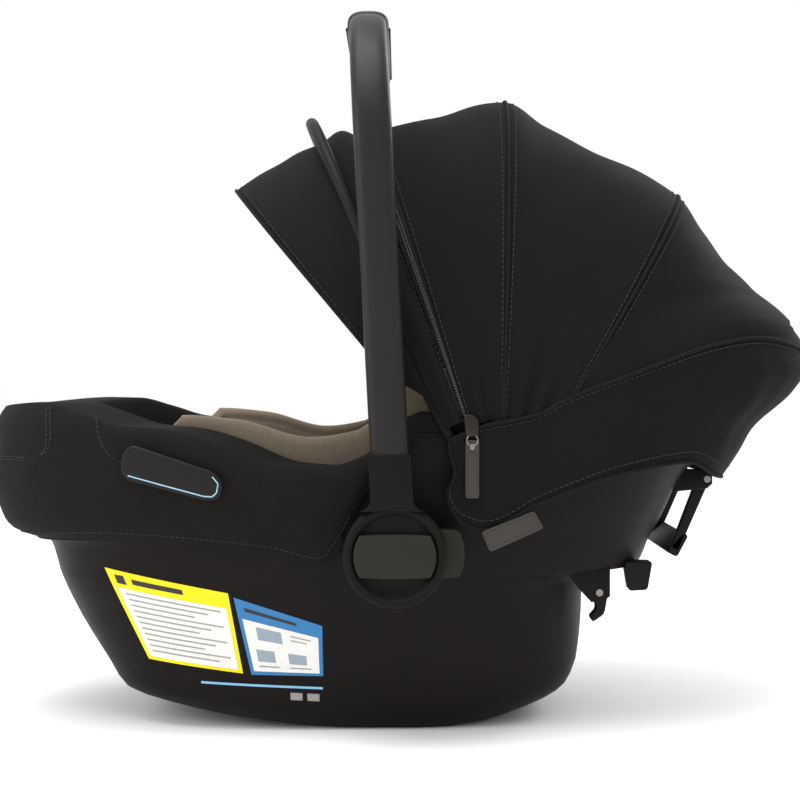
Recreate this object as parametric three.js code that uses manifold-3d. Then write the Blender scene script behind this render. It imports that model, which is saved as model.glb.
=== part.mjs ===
// Infant carrier car seat. Millimetres. +X runs from the toe end to the head end, +Y across the seat, +Z up.
// The origin is the middle of the flat under the rocker, so the floor is z = 0.
import * as THREE from 'three';
import { mergeVertices } from 'three/addons/utils/BufferGeometryUtils.js';
import Module from 'manifold-3d';

const wasm = await Module();
wasm.setup();

// ---- driving dimensions -------------------------------------------------------------------------------

const GAP = 0.5; // clearance between neighbouring pieces
const AROUND = 40; // stations round the bucket
const PLAN_POWER = 3.4; // how square the bucket is, seen from above
const SHELL_WALL = 4;

// each level of a bucket is [height, toe end x, head end x, half width]
const SHELL_LEVELS = [
  [0, -96, 72, 112],
  [3.4, -134, 94, 118],
  [9, -176, 112, 123],
  [18, -216, 134, 128],
  [28, -244, 148, 132],
  [50, -258, 157, 138],
  [90, -282, 161, 146],
  [122, -297, 162, 153],
  [130, -300, 182, 155],
  [134, -301, 210, 157],
  [156, -308, 220, 163],
  [166, -333, 226, 166],
  [176, -340, 231, 170],
  [211, -347, 248, 178],
  [250, -347, 288, 184],
  [285, -335, 322, 186],
  [320, -325, 345, 186],
];
const SEAT_LEVELS = [
  [88, -95, 30, 85],
  [100, -148, 46, 112],
  [130, -205, 88, 132],
  [170, -245, 143, 145],
  [210, -274, 198, 153],
  [250, -298, 250, 158],
  [290, -304, 296, 162],
  [320, -304, 320, 163],
];
const APRON_LEVELS = [
  [170, 245, 196.5],
  [204, 276, 197],
  [234, 297, 197.5],
  [250, 306, 198],
  [285, 343, 198],
  [303, 353, 198],
  [330, 346, 198],
].map(([z, head, half]) => [z, -head, head, half]);
const RIM = [
  [-365, 262],
  [-291, 269],
  [-261, 261],
  [-227, 251],
  [-190, 248],
  [-157, 240],
  [-100, 220],
  [-58, 218],
  [-26, 228],
  [16, 262],
  [60, 258],
  [133, 266],
  [194, 286],
  [257, 304],
  [300, 308],
  [360, 308],
];
const COVER_HEM = [
  [-365, 155],
  [-241, 163],
  [-109, 153],
  [-65, 143],
  [-49, 162],
  [-31, 198],
  [-20, 222],
  [16, 250],
  [60, 248],
  [133, 256],
  [194, 276],
  [257, 294],
  [360, 298],
];
const INSERT_TOP = [
  [-365, 178],
  [-262, 200],
  [-212, 258],
  [-157, 254],
  [-90, 240],
  [-40, 246],
  [10, 286],
  [80, 300],
  [360, 302],
];
const APRON_SEAM = [
  [36, 244],
  [65, 256],
  [110, 266],
  [133, 278],
  [194, 301],
  [257, 322],
  [294, 327],
  [338, 319],
  [363, 303],
];
const APRON_HEM = [
  [36, 181],
  [66, 174],
  [110, 195],
  [179, 219],
  [234, 227],
  [262, 214],
  [300, 205],
];

const HUB = { x: -4, z: 156, radius: 41, inner: 200.8, outer: 221, recess: 33, recessDepth: 6 };
const BUTTON = { wide: 64.6, high: 33, corner: 27.6, proud: 1.5, travel: 5 };
const HANDLE = { lean: 3, top: 600, sideY: 212, cornerRadius: 108, wide: 30.5, deep: 21, socketTop: 236 };
const GRIP = { wide: 35, deep: 27 };
const CANOPY = { x: 79, z: 182, halfWidth: 198, power: 3, cloth: 2.6 };
// each entry is [angle from the head end, distance of the crown from the canopy pivot]
const CROWN = [
  [23, 306],
  [28, 310],
  [32.6, 306],
  [40, 299],
  [45.3, 298],
  [52.7, 306],
  [59, 319],
  [73, 325],
  [82, 338],
  [88, 356],
  [98.5, 346],
  [107, 345],
  [112, 350],
  [116, 353],
  [129, 357],
];
const BOW = { rear: 59, mid: 88, front: 115, wide: 6, thick: 2.6, eye: 10, pin: 4 };
const BACK = { x: 73.6, z: 150.2, slope: 36 }; // a line up the middle of the seat back, on top of the insert

// ---- materials ----------------------------------------------------------------------------------------

function material(colour, roughness, metalness = 0) {
  return () => new THREE.MeshStandardMaterial({ color: colour, roughness, metalness });
}
const shellPlastic = material(0x211c1a, 0.42);
const satinPlastic = material(0x3a3836, 0.4);
const hubPlastic = material(0x2a2523, 0.45);
const olivePlastic = material(0x3d3c37, 0.5);
const blackPlastic = material(0x161514, 0.45);
const rubber = material(0x1d1c1c, 0.8);
const coverCloth = material(0x252324, 0.92);
const canopyCloth = material(0x1c1a1b, 0.95);
const insertCloth = material(0x6b6154, 0.95);
const webbing = material(0x1a1a1c, 0.85);
const leather = material(0x4a3f3c, 0.7);
const foam = material(0xb9b7b2, 0.9);
const steel = material(0x8b8d90, 0.35, 1);
const redPlastic = material(0x9c2020, 0.45);

// ---- shape helpers ------------------------------------------------------------------------------------

const seat = new THREE.Group();

function add(name, geometry, makeMaterial) {
  geometry.deleteAttribute('normal');
  geometry.deleteAttribute('uv');
  const welded = mergeVertices(geometry, 1e-3);
  welded.computeVertexNormals();
  const mesh = new THREE.Mesh(welded, makeMaterial());
  mesh.name = name;
  seat.add(mesh);
  return mesh;
}

function along(table, x) {
  if (x <= table[0][0]) return table[0].slice(1);
  for (let i = 1; i < table.length; i++) {
    const [low, high] = [table[i - 1], table[i]];
    if (x <= high[0]) {
      const part = (x - low[0]) / (high[0] - low[0]);
      return low.slice(1).map((value, k) => value + part * (high[k + 1] - value));
    }
  }
  return table[table.length - 1].slice(1);
}

const between = (low, high, part) => low + (high - low) * part;

function signedPower(value, power) {
  return Math.sign(value) * Math.abs(value) ** power;
}

function surfaceSolid(points, faces) {
  const geometry = new THREE.BufferGeometry();
  geometry.setAttribute('position', new THREE.Float32BufferAttribute(points.flatMap((p) => p.toArray()), 3));
  let volume = 0;
  for (const [a, b, c] of faces) {
    volume += points[a].dot(new THREE.Vector3().crossVectors(points[b], points[c]));
  }
  geometry.setIndex(faces.flatMap(([a, b, c]) => (volume > 0 ? [a, b, c] : [a, c, b])));
  return geometry;
}

// rings of points joined one to the next; the first and last are joined to each other, or closed by a fan
function ringSolid(rings, closed) {
  const count = rings[0].length;
  const points = rings.flat();
  const faces = [];
  const joins = closed ? rings.length : rings.length - 1;
  for (let i = 0; i < joins; i++) {
    for (let j = 0; j < count; j++) {
      const a = i * count + j;
      const b = i * count + ((j + 1) % count);
      const c = ((i + 1) % rings.length) * count + j;
      const d = ((i + 1) % rings.length) * count + ((j + 1) % count);
      faces.push([a, b, d], [a, d, c]);
    }
  }
  if (!closed) {
    for (const [start, flip] of [[0, true], [(rings.length - 1) * count, false]]) {
      const middle = new THREE.Vector3();
      for (let j = 0; j < count; j++) middle.addScaledVector(points[start + j], 1 / count);
      points.push(middle);
      for (let j = 0; j < count; j++) {
        const [a, b] = [start + j, start + ((j + 1) % count)];
        faces.push(flip ? [points.length - 1, b, a] : [points.length - 1, a, b]);
      }
    }
  }
  return surfaceSolid(points, faces);
}

// two sheets of rows of points, closed along their four edges
function slabSolid(outer, inner) {
  const [rows, columns] = [outer.length, outer[0].length];
  const points = [...outer.flat(), ...inner.flat()];
  const back = rows * columns;
  const faces = [];
  const quad = (a, b, c, d) => faces.push([a, b, c], [a, c, d]);
  for (let i = 0; i < rows - 1; i++) {
    for (let j = 0; j < columns - 1; j++) {
      const a = i * columns + j;
      quad(a, a + 1, a + columns + 1, a + columns);
      quad(back + a, back + a + columns, back + a + columns + 1, back + a + 1);
    }
  }
  for (let j = 0; j < columns - 1; j++) {
    const last = (rows - 1) * columns + j;
    quad(j, back + j, back + j + 1, j + 1);
    quad(last, last + 1, back + last + 1, back + last);
  }
  for (let i = 0; i < rows - 1; i++) {
    const a = i * columns;
    const b = a + columns - 1;
    quad(a, a + columns, back + a + columns, back + a);
    quad(b, back + b, back + b + columns, b + columns);
  }
  return surfaceSolid(points, faces);
}

function toManifold(geometry) {
  const bare = geometry.clone();
  bare.deleteAttribute('normal');
  bare.deleteAttribute('uv');
  const welded = mergeVertices(bare, 1e-4);
  const vertProperties = new Float32Array(welded.attributes.position.array);
  const triVerts = new Uint32Array(welded.index.array);
  return new wasm.Manifold(new wasm.Mesh({ numProp: 3, vertProperties, triVerts }));
}

function fromManifold(solid) {
  const mesh = solid.getMesh();
  const geometry = new THREE.BufferGeometry();
  geometry.setAttribute('position', new THREE.Float32BufferAttribute(mesh.vertProperties, 3));
  geometry.setIndex([...mesh.triVerts]);
  return geometry;
}

function join(...parts) {
  return fromManifold(parts.map(toManifold).reduce((whole, part) => whole.add(part)));
}

function cut(body, ...tools) {
  return fromManifold(tools.map(toManifold).reduce((whole, tool) => whole.subtract(tool), toManifold(body)));
}

// an outline in the X-Z plane, thickened along Y from y0 to y1
function plate(outline, y0, y1, bevel = 0, segments = 3) {
  const corners = (points) => points.map(([x, z]) => new THREE.Vector2(x, z));
  const shape = outline instanceof THREE.Shape ? outline : new THREE.Shape(corners(outline));
  const depth = Math.abs(y1 - y0) - 2 * bevel;
  const edge = { bevelEnabled: bevel > 0, bevelSize: bevel, bevelThickness: bevel, bevelOffset: -bevel };
  const geometry = new THREE.ExtrudeGeometry(shape, {
    depth, ...edge, bevelSegments: 1, curveSegments: segments, steps: 1,
  });
  geometry.rotateX(Math.PI / 2);
  geometry.translate(0, Math.max(y0, y1) - bevel, 0);
  return geometry;
}

function roundedBox(x0, x1, z0, z1, radius) {
  const shape = new THREE.Shape();
  shape.moveTo(x0 + radius, z0);
  shape.lineTo(x1 - radius, z0);
  shape.absarc(x1 - radius, z0 + radius, radius, -Math.PI / 2, 0);
  shape.lineTo(x1, z1 - radius);
  shape.absarc(x1 - radius, z1 - radius, radius, 0, Math.PI / 2);
  shape.lineTo(x0 + radius, z1);
  shape.absarc(x0 + radius, z1 - radius, radius, Math.PI / 2, Math.PI);
  shape.lineTo(x0, z0 + radius);
  shape.absarc(x0 + radius, z0 + radius, radius, Math.PI, 1.5 * Math.PI);
  return shape;
}

// a round pin or disc along Y
function disc(x, z, radius, y0, y1, sides = 32) {
  const geometry = new THREE.CylinderGeometry(radius, radius, Math.abs(y1 - y0), sides);
  geometry.translate(x, (y0 + y1) / 2, z);
  return geometry;
}

// a box whose length runs up the seat back from s0 to s1, lifted off it by a height
function backBox(s0, s1, y0, y1, lift, thick, radius = 0) {
  const shape = roundedBox(s0, s1, y0, y1, radius || Math.min(s1 - s0, y1 - y0) * 0.12);
  const geometry = new THREE.ExtrudeGeometry(shape, { depth: thick, bevelEnabled: false, curveSegments: 3 });
  geometry.translate(0, 0, lift);
  geometry.rotateY(-THREE.MathUtils.degToRad(BACK.slope));
  geometry.translate(BACK.x, 0, BACK.z);
  return geometry;
}

// ---- the bucket: every layer is a ring family round the same stations ----------------------------------

// angles that step evenly along a ring with these half sizes, between two angles
function evenAngles(halfLength, halfWidth, from, to, count) {
  const steps = 2000;
  const place = (i) => {
    const angle = between(from, to, i / steps);
    const x = halfLength * signedPower(Math.cos(angle), 2 / PLAN_POWER);
    return new THREE.Vector2(x, halfWidth * signedPower(Math.sin(angle), 2 / PLAN_POWER));
  };
  const lengths = [0];
  for (let i = 1; i <= steps; i++) lengths.push(lengths[i - 1] + place(i).distanceTo(place(i - 1)));
  const angles = [];
  for (let k = 0; k <= count; k++) {
    const target = (lengths[steps] * k) / count;
    angles.push(between(from, to, lengths.findIndex((length) => length >= target - 1e-6) / steps));
  }
  return angles;
}
const ANGLES = evenAngles(345, 186, 0, 2 * Math.PI, AROUND).slice(0, AROUND);

function onRing(levels, angle, z, out = 0, lift = 0) {
  const [toe, head, half] = along(levels, z);
  const x = (toe + head) / 2 + ((head - toe) / 2 + out) * signedPower(Math.cos(angle), 2 / PLAN_POWER);
  const y = (half + out) * signedPower(Math.sin(angle), 2 / PLAN_POWER);
  return new THREE.Vector3(x, y, z + lift);
}

function heightAt(table, levels, angle) {
  let z = 250;
  for (let i = 0; i < 6; i++) z = along(table, onRing(levels, angle, z).x)[0];
  return z;
}

function sideY(levels, x, z) {
  const [toe, head, half] = along(levels, z);
  const share = Math.abs((x - (toe + head) / 2) / ((head - toe) / 2)) ** PLAN_POWER;
  return half * Math.max(0, 1 - share) ** (1 / PLAN_POWER);
}

const RIM_STEPS = [0.4, 0.75, 1];
const BELOW_RIM = 176; // the shell's rows stand at fixed heights up to here, and share the rest up to the rim

function shellOutside(out, top = 0) {
  const rows = SHELL_LEVELS.map(([z]) => z).filter((z) => z <= BELOW_RIM);
  const rings = rows.map((z) => ANGLES.map((angle) => onRing(SHELL_LEVELS, angle, z, z > 0 ? out : 0)));
  for (const step of RIM_STEPS) {
    rings.push(ANGLES.map((angle) => {
      const rim = heightAt(RIM, SHELL_LEVELS, angle) + top;
      return onRing(SHELL_LEVELS, angle, between(BELOW_RIM, rim, step), out);
    }));
  }
  return rings;
}

function makeShell() {
  const rings = shellOutside(0);
  for (const step of [1, 0.75, 0.4]) {
    rings.push(ANGLES.map((angle) => {
      const rim = heightAt(RIM, SHELL_LEVELS, angle);
      return onRing(SHELL_LEVELS, angle, between(BELOW_RIM, rim, step), -SHELL_WALL);
    }));
  }
  for (const z of [176, 166, 156, 134, 122, 90, 50, 28, 18, 9]) {
    rings.push(ANGLES.map((angle) => onRing(SHELL_LEVELS, angle, z, -SHELL_WALL, SHELL_WALL)));
  }
  return ringSolid(rings, false);
}

// a point on the seat's inner surface at one of its rows, raised off the foam by a depth of padding
function seatPoint(angle, z, depth = 0) {
  const [toe, head, half] = along(SEAT_LEVELS, z);
  return onRing([[0, toe + 0.75 * depth, head - 0.665 * depth, half - depth]], angle, 0, 0, z + 0.75 * depth);
}
const SEAT_FLOOR = SEAT_LEVELS[0][0];
const PAD_BELOW_RIM = 34;
const SEAT_STEPS = [0, 0.08, 0.26, 0.5, 0.75, 1];

function seatRows(angle) {
  const top = heightAt(RIM, SHELL_LEVELS, angle) - PAD_BELOW_RIM;
  return SEAT_STEPS.map((step) => between(SEAT_FLOOR, top, step));
}

// a padded layer on the seat surface between two depths; rows above the pad's edge lead up to its own top
function seatLayer(d0, d1, topAt = null) {
  const rowsAt = (angle) => {
    const rows = seatRows(angle);
    if (!topAt) return rows;
    const top = topAt(angle) - 0.75 * d1;
    const all = [...rows, between(rows.at(-1), top, 0.5), top];
    return all.map((z, k) => Math.min(z, top - 1.2 * (all.length - 1 - k)));
  };
  const rows = ANGLES.map(rowsAt);
  const order = rows[0].map((_, k) => k);
  const ring = (k, depth) => ANGLES.map((angle, i) => seatPoint(angle, rows[i][k], depth));
  return ringSolid([...order.map((k) => ring(k, d0)), ...order.reverse().map((k) => ring(k, d1))], false);
}

function makeSeatCover() {
  const rings = ANGLES.map((angle) => {
    const rim = heightAt(RIM, SHELL_LEVELS, angle);
    const hem = heightAt(COVER_HEM, SHELL_LEVELS, angle);
    const place = onRing(SHELL_LEVELS, angle, rim);
    const [gap, pad] = place.x < -80 ? [1.2, 6.4] : [2.9, place.x < -20 ? 4.7 : 1]; // thin behind the hub
    const heights = [156, 166, BELOW_RIM, ...RIM_STEPS.map((step) => between(BELOW_RIM, rim, step))];
    const rows = [hem, ...heights.map((z, k) => Math.max(z, hem + 1.5 * (k + 1)))];
    rows[rows.length - 1] = rim;
    const face = rows.map((z) => onRing(SHELL_LEVELS, angle, z, gap + pad));
    const back = rows.map((z) => onRing(SHELL_LEVELS, angle, z, gap));
    const crest = [
      onRing(SHELL_LEVELS, angle, rim, 1, 6.5),
      seatPoint(angle, rim + 4, 3),
      seatPoint(angle, rim - 4, 7),
      seatPoint(angle, rim - PAD_BELOW_RIM + 3, 7),
      seatPoint(angle, rim - PAD_BELOW_RIM + 3, 1.4),
      seatPoint(angle, rim - 4, 1.4),
      seatPoint(angle, rim + 1, 0),
      onRing(SHELL_LEVELS, angle, rim, 1.5, 1.8),
    ];
    return [...face, ...crest, ...back.reverse()];
  });
  return ringSolid(rings, true);
}

// the shell's brackets for the latch and lever axles, rooted in its wall
const LATCH = { x: 167, z: 115, axle: 3, bracketY: 116 };
const LEVER = { x: 266, z: 207, axle: 3, bracketY: 67 };

function bracket(outline, y) {
  return [-1, 1].map((side) => plate(outline, side * y, side * (y + 6), 0.8));
}
const latchBracket = [[138, 134], [176, 136], [176, 112], [170, 107], [160, 107], [150, 118]];
const leverBracket = [[240, 216], [266, 215.5], [270.5, 211], [270.5, 203], [266, 199], [236, 196]];
const brackets = [...bracket(latchBracket, LATCH.bracketY), ...bracket(leverBracket, LEVER.bracketY)];
const shellInside = ringSolid(shellOutside(-2), false);
const axleHoles = [
  disc(LATCH.x, LATCH.z, LATCH.axle + 0.4, -130, 130, 16),
  disc(LEVER.x, LEVER.z, LEVER.axle + 0.4, -80, 80, 16),
];
const trimmed = brackets.map((piece) => cut(piece, shellInside, ...axleHoles));
add('shell', join(makeShell(), ...trimmed), shellPlastic);
const foamTop = (angle) => heightAt(RIM, SHELL_LEVELS, angle) - 5;
add('foam_liner', seatLayer(-11, 0, foamTop), foam);
const hubClearance = disc(HUB.x, HUB.z, HUB.radius, -200, 200, 40);
add('seat_cover', cut(makeSeatCover(), hubClearance), coverCloth);
add('seat_pad', seatLayer(2.2, 7.2), coverCloth);
const insertTop = (angle) => heightAt(INSERT_TOP, SHELL_LEVELS, angle);
add('insert', seatLayer(9.4, 24, insertTop), insertCloth);

const shellEnvelope = ringSolid(shellOutside(GAP, 8), false);
const insertEnvelope = seatLayer(8, 24.6, (angle) => insertTop(angle) + 20);

// ---- head pillow and harness ---------------------------------------------------------------------------

const pillow = new THREE.Shape();
pillow.moveTo(70, -92);
pillow.lineTo(150, -98);
pillow.quadraticCurveTo(196, -92, 198, 0);
pillow.quadraticCurveTo(196, 92, 150, 98);
pillow.lineTo(70, 92);
pillow.lineTo(64, 60);
pillow.lineTo(118, 56);
pillow.quadraticCurveTo(160, 50, 160, 0);
pillow.quadraticCurveTo(160, -50, 118, -56);
pillow.lineTo(64, -60);
const pillowSolid = new THREE.ExtrudeGeometry(pillow, {
  depth: 14, bevelEnabled: true, bevelSize: 5, bevelThickness: 6, bevelOffset: -5,
  bevelSegments: 2, curveSegments: 6,
});
pillowSolid.translate(0, 0, 7.5);
pillowSolid.rotateY(-THREE.MathUtils.degToRad(BACK.slope));
pillowSolid.translate(BACK.x, 0, BACK.z);
add('head_pillow', cut(pillowSolid, insertEnvelope), insertCloth);

for (const [side, name] of [[-1, 'left'], [1, 'right']]) {
  const [a, b] = [side * 23, side * 48].sort((p, q) => p - q);
  const [c, d] = [side * 20, side * 53].sort((p, q) => p - q);
  add(`shoulder_strap_${name}`, backBox(-26, 109, a, b, 1.5, 1.6, 0.8), webbing);
  add(`shoulder_pad_${name}`, backBox(52, 114, c, d, 3.8, 9, 7), coverCloth);
  const hip = new THREE.BoxGeometry(22, 44, 1.6);
  hip.rotateX(side * 0.34);
  hip.translate(-4, side * 54, 121);
  add(`lap_strap_${name}`, hip, webbing);
  add(`buckle_tongue_${name}`, plate(roundedBox(-16, 12, 118, 122, 1.8), side * 20, side * 31.6), steel);
}
add('crotch_strap', plate(roundedBox(-62, -44, 107.5, 109.4, 0.8), -14, 14), webbing);
const buckleShape = roundedBox(-42, 8, 109.5, 128, 5);
const buckleSlot = plate(roundedBox(-34, -10, 122, 140, 2), -12, 12);
add('buckle_body', cut(plate(buckleShape, -19, 19, 2), buckleSlot), blackPlastic);
add('buckle_button', plate(roundedBox(-33.4, -10.6, 123, 129.5, 1.6), -11.4, 11.4), redPlastic);
const clipOutside = backBox(20, 46, -56, 56, -0.6 + 4.2, 7.5, 6);
const clipTunnel = backBox(10, 60, -53.4, -20, 0.8, 4.6, 0.3);
const clipTunnel2 = backBox(10, 60, 20, 53.4, 0.8, 4.6, 0.3);
add('chest_clip', cut(clipOutside, clipTunnel, clipTunnel2), blackPlastic);
const frontSlope = [[-84, 111], [-122, 122], [-132, 128]];
const strapBelow = frontSlope.map(([x, z]) => [x, z - 1.6]).reverse();
add('adjuster_strap', plate([...frontSlope, ...strapBelow], -12, 12), webbing);
const ADJUSTER_FRAME = [[-134, 128], [-164, 147], [-160, 153], [-131, 135]];
const ADJUSTER_TAB = [[-136, 138.8], [-157, 152.6], [-154, 156.5], [-134, 143.5]];
add('adjuster_housing', plate(ADJUSTER_FRAME, -20, 20, 1), blackPlastic);
add('adjuster_button', plate(ADJUSTER_TAB, -12, 12, 1), blackPlastic);

// ---- pivots on the shell's sides -----------------------------------------------------------------------

for (const [side, name] of [[-1, 'left'], [1, 'right']]) {
  const bossFace = side * (HUB.inner - GAP);
  const boss = new THREE.CylinderGeometry(side > 0 ? 34 : 38.5, side > 0 ? 38.5 : 34, 60.3, 32);
  boss.translate(HUB.x, side * 170.15, HUB.z);
  const tab = plate(roundedBox(HUB.x, HUB.x + 55, HUB.z - 19, HUB.z + 19, 7), side * 178, bossFace, 1.5);
  add(`pivot_boss_${name}`, cut(join(boss, tab), shellEnvelope), olivePlastic);
  const mount = disc(CANOPY.x, CANOPY.z, 17, side * 140, side * 175.6);
  const pin = disc(CANOPY.x, CANOPY.z, BOW.pin, side * 140, side * 191, 16);
  add(`canopy_mount_${name}`, cut(join(mount, pin), shellEnvelope), blackPlastic);
  const guide = new THREE.Shape([
    [-213, 242], [-147, 220], [-140, 211], [-143, 199], [-153, 197], [-217, 214], [-222, 221], [-220, 236],
  ].map(([x, z]) => new THREE.Vector2(x, z)));
  const coverFace = sideY(SHELL_LEVELS, -140, 240) + 7.6;
  const guidePlate = plate(guide, side * (coverFace + 0.6), side * (coverFace + 5), 1.2);
  add(`belt_guide_${name}`, guidePlate, blackPlastic);
}

// ---- handle ---------------------------------------------------------------------------------------------

const lean = Math.tan(THREE.MathUtils.degToRad(HANDLE.lean));

// the handle's centre line: up one leg, round two corners and down the other leg
function handlePath(fromZ) {
  const top = HANDLE.top - HANDLE.wide / 2 + 4;
  const flat = HANDLE.sideY - HANDLE.cornerRadius;
  const low = top - HANDLE.cornerRadius;
  const path = [];
  for (let i = 0; i <= 3; i++) path.push([-HANDLE.sideY, between(fromZ, low, i / 3)]);
  for (let i = 1; i <= 6; i++) {
    const angle = Math.PI - (i * Math.PI) / 12;
    path.push([-flat + HANDLE.cornerRadius * Math.cos(angle), low + HANDLE.cornerRadius * Math.sin(angle)]);
  }
  const half = [...path, ...path.map(([y, z]) => [-y, z]).reverse()];
  return half.map(([y, z]) => new THREE.Vector3(HUB.x - (z - HUB.z) * lean, y, z));
}

// an oval section carried along the handle's path; a bore makes it a sleeve
function carry(path, wide, deep, bore = null, sides = 12) {
  const rings = [];
  const ringAt = (i, w, d) => {
    const before = path[Math.max(0, i - 1)];
    const after = path[Math.min(path.length - 1, i + 1)];
    const forward = after.clone().sub(before).normalize();
    const across = new THREE.Vector3(1, 0, 0).addScaledVector(forward, -forward.x).normalize();
    const normal = new THREE.Vector3().crossVectors(forward, across);
    const ring = [];
    for (let k = 0; k < sides; k++) {
      const angle = (2 * Math.PI * (k + 0.5)) / sides;
      const [u, v] = [signedPower(Math.cos(angle), 0.75), signedPower(Math.sin(angle), 0.75)];
      ring.push(path[i].clone().addScaledVector(across, (u * w) / 2).addScaledVector(normal, (v * d) / 2));
    }
    return ring;
  };
  for (let i = 0; i < path.length; i++) rings.push(ringAt(i, wide, deep));
  if (bore) {
    for (let i = path.length - 1; i >= 0; i--) rings.push(ringAt(i, bore[0], bore[1]));
  }
  return ringSolid(rings, Boolean(bore));
}

const barPath = handlePath(HANDLE.socketTop + 1.3);
add('handle_bar', carry(barPath, HANDLE.wide, HANDLE.deep), satinPlastic);
const gripPath = barPath.slice(8, barPath.length - 8);
const bore = [HANDLE.wide + 1.2, HANDLE.deep + 1.2];
add('handle_grip', carry(gripPath, GRIP.wide, GRIP.deep, bore), satinPlastic);

for (const [side, name] of [[-1, 'left'], [1, 'right']]) {
  const [inner, outer] = [side * HUB.inner, side * HUB.outer];
  const ring = disc(HUB.x, HUB.z, HUB.radius, inner, outer, 40);
  const recessFloor = HUB.outer - HUB.recessDepth;
  const recess = disc(HUB.x, HUB.z, HUB.recess, side * recessFloor, side * (HUB.outer + 5), 36);
  const topX = HUB.x - (HANDLE.socketTop - HUB.z) * lean;
  const collar = plate([
    [HUB.x - 33, HUB.z + 22], [HUB.x + 31, HUB.z + 22], [topX + 18.5, HUB.z + 52],
    [topX + 16.9, HANDLE.socketTop], [topX - 16.9, HANDLE.socketTop], [topX - 18.5, HUB.z + 50],
  ], inner, side * (HUB.outer + 1.8), 1.2);
  const pocket = plate(roundedBox(HUB.x - 26, HUB.x + 26, HUB.z - 12, HUB.z + 12, 5), side * 208, side * 218);
  add(`handle_hub_${name}`, cut(join(ring, collar), recess, pocket), hubPlastic);
  const button = new THREE.Shape();
  const [x0, x1] = [HUB.x - BUTTON.corner, HUB.x + BUTTON.corner];
  const [z0, z1] = [HUB.z - BUTTON.high / 2, HUB.z + BUTTON.high / 2];
  button.moveTo(x0, z0);
  button.quadraticCurveTo(HUB.x, z0 - 1.5, x1, z0);
  button.quadraticCurveTo(x1 + BUTTON.wide - 2 * BUTTON.corner, HUB.z, x1, z1);
  button.quadraticCurveTo(HUB.x, z1 + 1.5, x0, z1);
  button.quadraticCurveTo(x0 - BUTTON.wide + 2 * BUTTON.corner, HUB.z, x0, z0);
  const capBack = side * (HUB.outer - HUB.recessDepth + BUTTON.travel + 0.4);
  const cap = plate(button, capBack, side * (HUB.outer + BUTTON.proud), 0.6, 6);
  const stemShape = roundedBox(HUB.x - 24, HUB.x + 24, HUB.z - 10.5, HUB.z + 10.5, 4);
  const stem = plate(stemShape, side * 213.6, side * 221);
  add(`handle_button_${name}`, join(cap, stem), olivePlastic);
}

// ---- canopy: every bow and panel is an arch at an angle round one pivot ---------------------------------

function archPoint(angle, t, inset, extra = {}) {
  const reach = (extra.reach ?? along(CROWN, angle)[0]) - inset;
  const half = (extra.half ?? CANOPY.halfWidth) - inset;
  const r = reach * Math.sin(t) ** (2 / CANOPY.power);
  const turn = angle + (extra.lean ?? 0) * (1 - r / reach) ** 2;
  const radians = THREE.MathUtils.degToRad(turn);
  const y = -half * signedPower(Math.cos(t), 2 / CANOPY.power);
  return new THREE.Vector3(CANOPY.x + r * Math.cos(radians), y, CANOPY.z + r * Math.sin(radians));
}

// the place along an arch where its leg leaves a given distance from the pivot
function legStart(angle, r, reach = along(CROWN, angle)[0]) {
  return Math.asin(Math.min(0.999, r / reach) ** (CANOPY.power / 2));
}

// how far from the pivot the apron's upper seam lies, in the direction of an angle
function seamReach(angle) {
  const radians = THREE.MathUtils.degToRad(angle);
  let best = 0;
  for (let r = 40; r < 330; r += 1) {
    const [x, z] = [CANOPY.x + r * Math.cos(radians), CANOPY.z + r * Math.sin(radians)];
    if (x < 36 || z < along(APRON_SEAM, x)[0]) best = r;
    if (x < 36) return Math.max(best > r - 1 ? 0 : best, 75);
  }
  return best;
}

function panel(from, to, rows, columns, options = {}) {
  const sheets = [0, CANOPY.cloth].map((inset) => {
    const sheet = [];
    for (let i = 0; i <= rows; i++) {
      const angle = between(from, to, i / rows);
      const low = options.low ? options.low(i / rows) : seamReach(angle) + 3;
      const t0 = legStart(angle, low);
      const row = [];
      for (let j = 0; j <= columns; j++) {
        const t = between(t0, Math.PI - t0, j / columns);
        const lean = between(...(options.lean ?? [0, 0]), i / rows);
        row.push(archPoint(angle, t, inset + (options.inset ?? 0), { lean }));
      }
      sheet.push(row);
    }
    return sheet;
  });
  return slabSolid(sheets[0], sheets[1]);
}

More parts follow.
